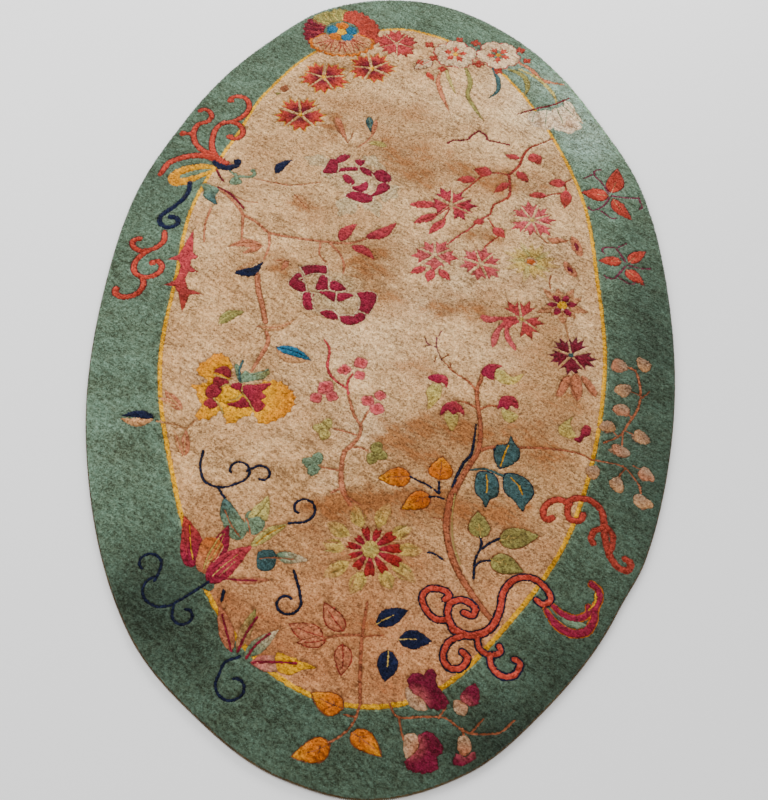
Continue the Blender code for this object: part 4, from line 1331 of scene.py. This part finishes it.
def nodeKit(tree):
    # short ways to add nodes; a feed is a number, a socket, or a node whose first output is meant
    def put(kind, feeds=None, **settings):
        made = tree.nodes.new(kind)
        for label, value in settings.items():
            setattr(made, label, value)
        for slot, value in (feeds or {}).items():
            if isinstance(value, bpy.types.Node):
                value = value.outputs[0]
            if isinstance(value, bpy.types.NodeSocket):
                tree.links.new(value, made.inputs[slot])
            elif value is not None:
                made.inputs[slot].default_value = value
        return made

    def sums(operation, a, b, clamp=False):
        return put("ShaderNodeMath", {0: a, 1: b}, operation=operation, use_clamp=clamp)

    def vectors(operation, a, b=None, scale=None):
        return put("ShaderNodeVectorMath", {0: a, 1: b, "Scale": scale}, operation=operation)

    return put, sums, vectors


def nodeTree(name, inputs):
    # a geometry tree with a geometry going in and out, named inputs, and a material to end with
    tree = bpy.data.node_groups.new(name, "GeometryNodeTree")
    tree.interface.new_socket("Geometry", in_out="INPUT", socket_type="NodeSocketGeometry")
    for label, value in inputs.items():
        kind = "NodeSocketInt" if isinstance(value, int) else "NodeSocketFloat"
        tree.interface.new_socket(label, in_out="INPUT", socket_type=kind).default_value = value
    tree.interface.new_socket("Finish", in_out="INPUT", socket_type="NodeSocketMaterial")
    tree.interface.new_socket("Geometry", in_out="OUTPUT", socket_type="NodeSocketGeometry")
    return tree


def baked(holder, tree, name, values):
    # runs a node tree on an object and keeps the result as a plain mesh
    modifier = holder.modifiers.new("nodes", "NODES")
    modifier.node_group = tree
    for item in tree.interface.items_tree:
        if item.in_out == "INPUT" and item.name in values:
            modifier[item.identifier] = values[item.name]
    bpy.context.view_layer.update()
    graph = bpy.context.evaluated_depsgraph_get()
    mesh = bpy.data.meshes.new_from_object(holder.evaluated_get(graph), preserve_all_data_layers=True,
                                           depsgraph=graph)
    holder.modifiers.remove(modifier)
    mesh.name = name
    bpy.data.objects.remove(holder)
    mesh.polygons.foreach_set("use_smooth", [True] * len(mesh.polygons))
    print(name, sum(len(face.vertices) - 2 for face in mesh.polygons), "triangles")
    return linked(name, mesh)


def overcastTree():
    tree = nodeTree("overcastNodes", {"Wraps": 1000, "Wide": 0.0085, "High": 0.0056, "Yarn": 0.002,
                                      "Slant": 0.3, "Seed": seed})
    put, sums = nodeKit(tree)[:2]
    given = put("NodeGroupInput").outputs
    edge = put("GeometryNodeMeshToCurve", {"Mesh": given["Geometry"]})
    path = put("GeometryNodeResampleCurve", {"Curve": edge, "Count": given["Wraps"]})
    # one wrap is a flattened ring of yarn
    ring = put("GeometryNodeCurvePrimitiveCircle", {"Resolution": 11, "Radius": 0.5})
    yarn = sums("MULTIPLY", given["Yarn"], 0.5)
    strand = put("GeometryNodeCurvePrimitiveCircle", {"Resolution": 4, "Radius": yarn})
    size = put("ShaderNodeCombineXYZ", {"X": sums("SUBTRACT", given["Wide"], given["Yarn"]),
                                        "Y": sums("SUBTRACT", given["High"], given["Yarn"]), "Z": 1.0})
    flat = put("GeometryNodeTransform", {"Geometry": ring, "Scale": size})
    wrap = put("GeometryNodeCurveToMesh", {"Curve": flat, "Profile Curve": strand})
    # each wrap faces along the edge, slanted and a little uneven
    facing = put("FunctionNodeAlignRotationToVector", {"Vector": put("GeometryNodeInputTangent")}, axis="Z")
    upright = put("FunctionNodeAlignRotationToVector", {"Vector": (0, 0, 1), "Rotation": facing}, axis="Y",
                  pivot_axis="Z")
    uneven = put("FunctionNodeRandomValue", {2: 0.75, 3: 1.25, "Seed": given["Seed"]}, data_type="FLOAT")
    tilt = put("ShaderNodeCombineXYZ", {"Y": sums("MULTIPLY", given["Slant"], uneven.outputs[1])})
    slanted = put("FunctionNodeEulerToRotation", {0: tilt})
    both = put("FunctionNodeRotateRotation", {"Rotation": upright, "Rotate By": slanted},
               rotation_space="LOCAL")
    copies = put("GeometryNodeInstanceOnPoints", {"Points": path, "Instance": wrap, "Rotation": both})
    # the cord inside
    cord = put("GeometryNodeCurvePrimitiveCircle", {"Resolution": 8, "Radius": 0.0020})
    coarse = put("GeometryNodeResampleCurve", {"Curve": edge, "Count": 700})
    core = put("GeometryNodeCurveToMesh", {"Curve": coarse, "Profile Curve": cord})
    join = put("GeometryNodeJoinGeometry", {0: copies})
    tree.links.new(core.outputs[0], join.inputs[0])
    dress = put("GeometryNodeSetMaterial", {"Geometry": put("GeometryNodeRealizeInstances", {0: join}),
                                            "Material": given["Finish"]})
    put("NodeGroupOutput", {0: dress})
    return tree


# clipped tufts of pile, as small leaning cones on the skin
tuftSizes = {"apart": 0.0022, "high": 0.0036, "wide": 0.0020, "lean": 0.6, "ruffle": 0.45, "parts": 4}


def tuftTree():
    tree = nodeTree("tuftNodes", {"Apart": 0.003, "High": 0.003, "Wide": 0.002, "Lean": 0.4, "Ruffle": 0.3,
                                  "Seed": seed})
    put, sums, vectors = nodeKit(tree)
    given = put("NodeGroupInput").outputs

    def dealt(low, high, seed):
        # a random number, or a random vector
        slots, kind, out = ((0, 1), "FLOAT_VECTOR", 0) if isinstance(low, tuple) else ((2, 3), "FLOAT", 1)
        feeds = {slots[0]: low, slots[1]: high, "Seed": sums("ADD", given["Seed"], seed)}
        return put("FunctionNodeRandomValue", feeds, data_type=kind).outputs[out]

    def clouds(scale, detail):
        return put("ShaderNodeTexNoise", {"Scale": scale, "Detail": detail, "Vector": place},
                   noise_dimensions="3D")

    def pushed(cloud, far):
        # a noise's colour as a level push, both ways
        bothWays = vectors("SUBTRACT", cloud.outputs["Color"], (0.5, 0.5, 0.5))
        return vectors("MULTIPLY", bothWays, (far, far, 0.0))

    # fewer tufts where the pile is carved away
    valley = put("GeometryNodeInputNamedAttribute", {"Name": "carved"}, data_type="FLOAT")
    thick = sums("SUBTRACT", 1.0, sums("MULTIPLY", valley, 0.92))
    sow = put("GeometryNodeDistributePointsOnFaces", {
        "Mesh": given["Geometry"], "Distance Min": given["Apart"], "Density Max": 260000,
        "Density Factor": thick, "Seed": given["Seed"]}, distribute_method="POISSON")
    # the nap leans one way, with drifts where it was brushed aside
    place = put("GeometryNodeInputPosition")
    brushed, clumps = clouds(11, 3), clouds(170, 1)
    aside = vectors("ADD", pushed(brushed, 3.2), pushed(clumps, 3.0))
    nap = vectors("SCALE", vectors("ADD", (0.55, -0.75, 0.0), aside), scale=given["Lean"])
    ruffle = vectors("SCALE", dealt((-1, -1, -0.5), (1, 1, 0.5), 7), scale=given["Ruffle"])
    way = vectors("ADD", vectors("ADD", sow.outputs["Normal"], nap), ruffle)
    facing = put("FunctionNodeAlignRotationToVector", {"Vector": way}, axis="Z")
    spin = put("FunctionNodeEulerToRotation", {0: put("ShaderNodeCombineXYZ", {"Z": dealt(0.0, 6.28, 11)})})
    both = put("FunctionNodeRotateRotation", {"Rotation": facing, "Rotate By": spin}, rotation_space="LOCAL")
    # one tuft is a small cone, sunk a little
    cone = put("GeometryNodeMeshCone", {"Vertices": 3, "Radius Top": 0.0, "Radius Bottom": given["Wide"],
                                        "Depth": given["High"]}, fill_type="NONE")
    drop = put("ShaderNodeCombineXYZ", {"Z": sums("MULTIPLY", given["High"], -0.14)})
    sunk = put("GeometryNodeTransform", {"Geometry": cone, "Translation": drop})
    tone = put("GeometryNodeStoreNamedAttribute", {
        "Name": "tone", "Geometry": sow, "Value": dealt(0.0, 1.0, 3)}, data_type="FLOAT", domain="POINT")
    grown = sums("MULTIPLY", dealt(0.74, 1.2, 5), sums("ADD", 0.72, sums("MULTIPLY", clumps, 0.56)))
    copies = put("GeometryNodeInstanceOnPoints", {
        "Points": tone, "Instance": sunk, "Rotation": both, "Scale": grown})
    real = put("GeometryNodeRealizeInstances", {0: copies})
    # a map seen from above
    wide, long = rugSizes["mapSize"]
    seen = vectors("MULTIPLY", vectors("ADD", place, (*rugSizes["mapFrom"], 0.0)), (1 / wide, 1 / long, 0.0))
    flat = put("GeometryNodeStoreNamedAttribute", {"Name": "OFBake", "Geometry": real, "Value": seen},
               data_type="FLOAT2", domain="CORNER")
    dress = put("GeometryNodeSetMaterial", {"Geometry": flat, "Material": given["Finish"]})
    put("NodeGroupOutput", {0: dress})
    return tree


def makeTufts(finish):
    # the rug is sown in bands along its length, so that no piece grows too heavy
    tree, parts = tuftTree(), tuftSizes["parts"]
    verts, faces = np.array(skin["verts"]), skin["faces"]
    chosen = [n for n, tufted in enumerate(skin["tufted"]) if tufted]
    level, area = np.empty(len(chosen)), np.empty(len(chosen))
    for k, n in enumerate(chosen):
        at = verts[list(faces[n])]
        (ax, ay), (bx, by) = (at[1] - at[0])[:2], (at[2] - at[0])[:2]
        level[k] = at[:, 1].mean()
        area[k] = abs(ax * by - ay * bx) * (len(at) - 2) / 2
    order = np.argsort(level)
    part = np.empty(len(chosen), int)
    part[order] = np.minimum((np.cumsum(area[order]) / area.sum() * parts).astype(int), parts - 1)
    made = []
    for row in range(parts):
        mine = [n for k, n in enumerate(chosen) if part[k] == row]
        used = sorted({v for n in mine for v in faces[n]})
        new = {v: k for k, v in enumerate(used)}
        ground = woolMesh("tuftGround%d" % row, verts[used].tolist(),
                          [tuple(new[v] for v in faces[n]) for n in mine], [skin["dye"][n] for n in mine],
                          [skin["stain"][n] for n in mine], grooves[used], [0.0] * len(mine))
        made.append(baked(ground, tree, "pileTufts%d" % (row + 1), {
            "Apart": tuftSizes["apart"], "High": tuftSizes["high"], "Wide": tuftSizes["wide"],
            "Lean": tuftSizes["lean"], "Ruffle": tuftSizes["ruffle"], "Seed": seed + row, "Finish": finish}))
    return made


# how the wool takes its dye, with painted light and shade in its nap and its valleys: shares of light, and
# the tint of stains and mottling
woolLook = {
    "streaks": 0.29, "flecks": 0.38, "drifts": 0.3, "slow": 0.08, "pits": 0.1, "tufts": (-0.42, 0.62),
    "valley": 0.5, "darkest": 0.44, "warmShade": (0.86, 1.0, 1.14), "mottle": (0.86, 0.74, 0.66, 1),
    "stain": (0.50, 0.33, 0.22, 1), "bump": 0.0035,
    "surface": {"Roughness": 0.92, "Specular IOR Level": 0.12, "Sheen Weight": 0.1, "Sheen Roughness": 0.55},
}


def woolFibre():
    # colour, with painted light and shade, and height of clipped wool yarn, from any dye
    tree = bpy.data.node_groups.new("woolFibre", "ShaderNodeTree")
    inputs = {"Dye": (0.5, 0.5, 0.5, 1), "Stain": 0.0, "Carved": 0.0, "Back": 0.0, "Tone": 0.5}
    for label, value in inputs.items():
        kind = "NodeSocketColor" if label == "Dye" else "NodeSocketFloat"
        tree.interface.new_socket(label, in_out="INPUT", socket_type=kind).default_value = value
    tree.interface.new_socket("Colour", in_out="OUTPUT", socket_type="NodeSocketColor")
    tree.interface.new_socket("Height", in_out="OUTPUT", socket_type="NodeSocketFloat")
    put, sums = nodeKit(tree)[:2]
    given = put("NodeGroupInput").outputs
    place = put("ShaderNodeTexCoord").outputs["Object"]

    def pattern(turn, size, detail=2, rough=0.55):
        # size is how long and wide one mark is, in metres
        turned = put("ShaderNodeMapping", {
            "Rotation": (0, 0, math.radians(turn)), "Scale": size, "Vector": place}, vector_type="TEXTURE")
        return put("ShaderNodeTexNoise", {
            "Scale": 1.0, "Detail": detail, "Roughness": rough, "Vector": turned})

    def spread(value, low, high, toLow, toHigh):
        return put("ShaderNodeMapRange", {
            "From Min": low, "From Max": high, "To Min": toLow, "To Max": toHigh, "Value": value})

    def multiplied(share, a, b):
        mixed = put("ShaderNodeMix", {0: share, 6: a, 7: b}, data_type="RGBA", blend_type="MULTIPLY")
        return mixed.outputs[2]

    streaks = pattern(-38, (0.030, 0.009, 0.02), 3, 0.6)
    fine = pattern(-30, (0.0100, 0.0056, 0.006))
    pits = pattern(-35, (0.014, 0.007, 0.012), 2, 0.7)
    drifts = pattern(-20, (0.12, 0.07, 0.1), 4, 0.6)
    slow = pattern(0, (0.42, 0.34, 0.4))
    # painted light and shade, lighter and darker where the nap lies one way or the other and darker in its
    # pits, with each tuft's own random tone
    tone = 1.0
    for marks, low, high, dark, light in ((streaks, 0.3, 0.7, -woolLook["streaks"], woolLook["streaks"]),
                                          (fine, 0.3, 0.7, -woolLook["flecks"], woolLook["flecks"]),
                                          (drifts, 0.3, 0.7, -woolLook["drifts"], woolLook["drifts"]),
                                          (slow, 0.35, 0.65, -woolLook["slow"], woolLook["slow"]),
                                          (pits, 0.34, 0.46, -woolLook["pits"], 0.0),
                                          (given["Tone"], 0.0, 1.0, *woolLook["tufts"])):
        tone = sums("ADD", tone, spread(marks, low, high, dark, light))
    # painted shade in the carved valleys
    tone = sums("SUBTRACT", tone, sums("MULTIPLY", given["Carved"], woolLook["valley"]))
    tone = sums("MAXIMUM", tone, woolLook["darkest"])
    # the shade between tufts is warmer than their tips
    shade = put("ShaderNodeCombineColor", {
        n: sums("POWER", tone, power) for n, power in enumerate(woolLook["warmShade"])})
    colour = multiplied(1.0, given["Dye"], shade)
    # the dye has settled warmer in some places than in others
    # warmer and darker in soft patches
    mottle = pattern(25, (0.075, 0.04, 0.06), 5, 0.68)
    colour = multiplied(spread(mottle, 0.42, 0.68, 0.0, 0.55), colour, woolLook["mottle"])
    # stains follow the nap in streaks
    broken = sums("MULTIPLY", spread(streaks, 0.34, 0.62, 0.55, 1.3), spread(drifts, 0.34, 0.6, 0.2, 1.6))
    broken = sums("MULTIPLY", broken, spread(fine, 0.36, 0.62, 0.8, 1.15))
    colour = multiplied(sums("MULTIPLY", given["Stain"], broken, True), colour, woolLook["stain"])
    height = sums("ADD", sums("MULTIPLY", streaks, 0.9), sums("MULTIPLY", fine, 0.6))
    height = sums("ADD", height, sums("MULTIPLY", pits, 0.5))
    pileOnly = sums("SUBTRACT", 1.0, sums("MULTIPLY", given["Back"], 0.75))
    put("NodeGroupOutput", {"Colour": colour, "Height": sums("MULTIPLY", height, pileOnly)})
    return tree


fibre = woolFibre()


def woolMaterial(name, bump, marks=(), dye=None):
    # marks are the mesh's own attributes that the wool reads; a plain wool has one dye
    wool = bpy.data.materials.new(name)
    wool.use_nodes = True
    shader = wool.node_tree.nodes["Principled BSDF"]
    put = nodeKit(wool.node_tree)[0]
    feeds = {"Dye": dye}
    for mark in marks:
        read = put("ShaderNodeAttribute", attribute_name=mark)
        feeds[mark.capitalize()] = read.outputs["Color" if mark == "dye" else "Fac"]
    group = put("ShaderNodeGroup", feeds, node_tree=fibre)
    raised = put("ShaderNodeBump", {
        "Strength": bump, "Distance": woolLook["bump"], "Height": group.outputs["Height"]})
    wool.node_tree.links.new(group.outputs["Colour"], shader.inputs["Base Color"])
    wool.node_tree.links.new(raised.outputs["Normal"], shader.inputs["Normal"])
    for label, value in woolLook["surface"].items():
        shader.inputs[label].default_value = value
    return wool


pileMarks = ("dye", "stain", "carved", "back")
pileWool = woolMaterial("pileWool", 0.75, pileMarks)
tuftWool = woolMaterial("tuftWool", 0.3, pileMarks + ("tone",))
edgeWool = woolMaterial("edgeWool", 0.4, dye=(*woolColour("jute") * 0.75, 1))
rug.data.materials.append(pileWool)

loop = bpy.data.meshes.new("edgeLoop")
loopAt = edgeRing(edgeSizes["cordWide"] * 500, edgeSizes["points"]) / 1000
loop.from_pydata([(x, y, edgeSizes["cordHigh"] / 2 + 0.0001) for x, y in loopAt],
                 [(n, (n + 1) % len(loopAt)) for n in range(len(loopAt))], [])
edge = baked(linked("edgeLoop", loop), overcastTree(), "overcastEdge", {
    "Wraps": edgeSizes["wraps"], "Wide": edgeSizes["cordWide"], "High": edgeSizes["cordHigh"],
    "Yarn": edgeSizes["yarn"], "Slant": edgeSizes["slant"], "Seed": seed, "Finish": edgeWool})
pile = makeTufts(tuftWool)

for piece, node, finish in ((rug, "knotted_rug", "wool_pile"), (edge, "edge_overcasting", "overcast_wool")):
    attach(piece, rugBody)
    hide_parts(node)
for tufts in pile:
    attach(tufts, rugBody)

# plain pale floor
floorMesh = bpy.data.meshes.new("studioFloor")
floorMesh.from_pydata([(-9, -9, 0), (9, -9, 0), (9, 9, 0), (-9, 9, 0)], [], [(0, 1, 2, 3)])
floorPaint = bpy.data.materials.new("floorPaint")
floorPaint.use_nodes = True
floorPaint.node_tree.nodes["Principled BSDF"].inputs["Base Color"].default_value = (0.96, 0.96, 0.96, 1)
floorPaint.node_tree.nodes["Principled BSDF"].inputs["Roughness"].default_value = 0.9
floorMesh.materials.append(floorPaint)
floor = linked("studioFloor", floorMesh)


def addLamp(name, place, target, size, power):
    lamp = bpy.data.lights.new(name, "AREA")
    lamp.shape = "RECTANGLE"
    lamp.size, lamp.size_y = size
    lamp.energy = power
    holder = linked(name, lamp)
    holder.location = place
    holder.rotation_euler = (Vector(target) - Vector(place)).to_track_quat("-Z", "Y").to_euler()


addLamp("farSoft", (0.3, 2.6, 2.1), (0.0, 0.3, 0), (2.4, 1.4), 105)
addLamp("sideSoft", (-2.4, 0.4, 2.2), (0, 0, 0), (1.8, 1.8), 56)
addLamp("nearFill", (0.6, -2.8, 2.6), (0, -0.2, 0), (2.6, 1.6), 27)
world = bpy.data.worlds.new("studio")
bpy.context.scene.world = world
world.use_nodes = True
world.node_tree.nodes["Background"].inputs["Color"].default_value = (1, 1, 1, 1)
world.node_tree.nodes["Background"].inputs["Strength"].default_value = 0.73

# the photo's own angle, from standing height
camera = linked("camera", bpy.data.cameras.new("camera"))
camera.location = (0.0056, -1.5209, 1.7027)
sway, tip, roll = -0.00065, math.pi / 2 - 0.94421, 0.08278
turned = Matrix.Rotation(sway, 3, "Z") @ Matrix.Rotation(tip, 3, "X") @ Matrix.Rotation(roll, 3, "Z")
camera.rotation_euler = turned.to_euler()
camera.data.lens = 46.99
camera.data.shift_x = 0.00125
bpy.context.scene.camera = camera

bpy.context.view_layer.update()
print("finishing")
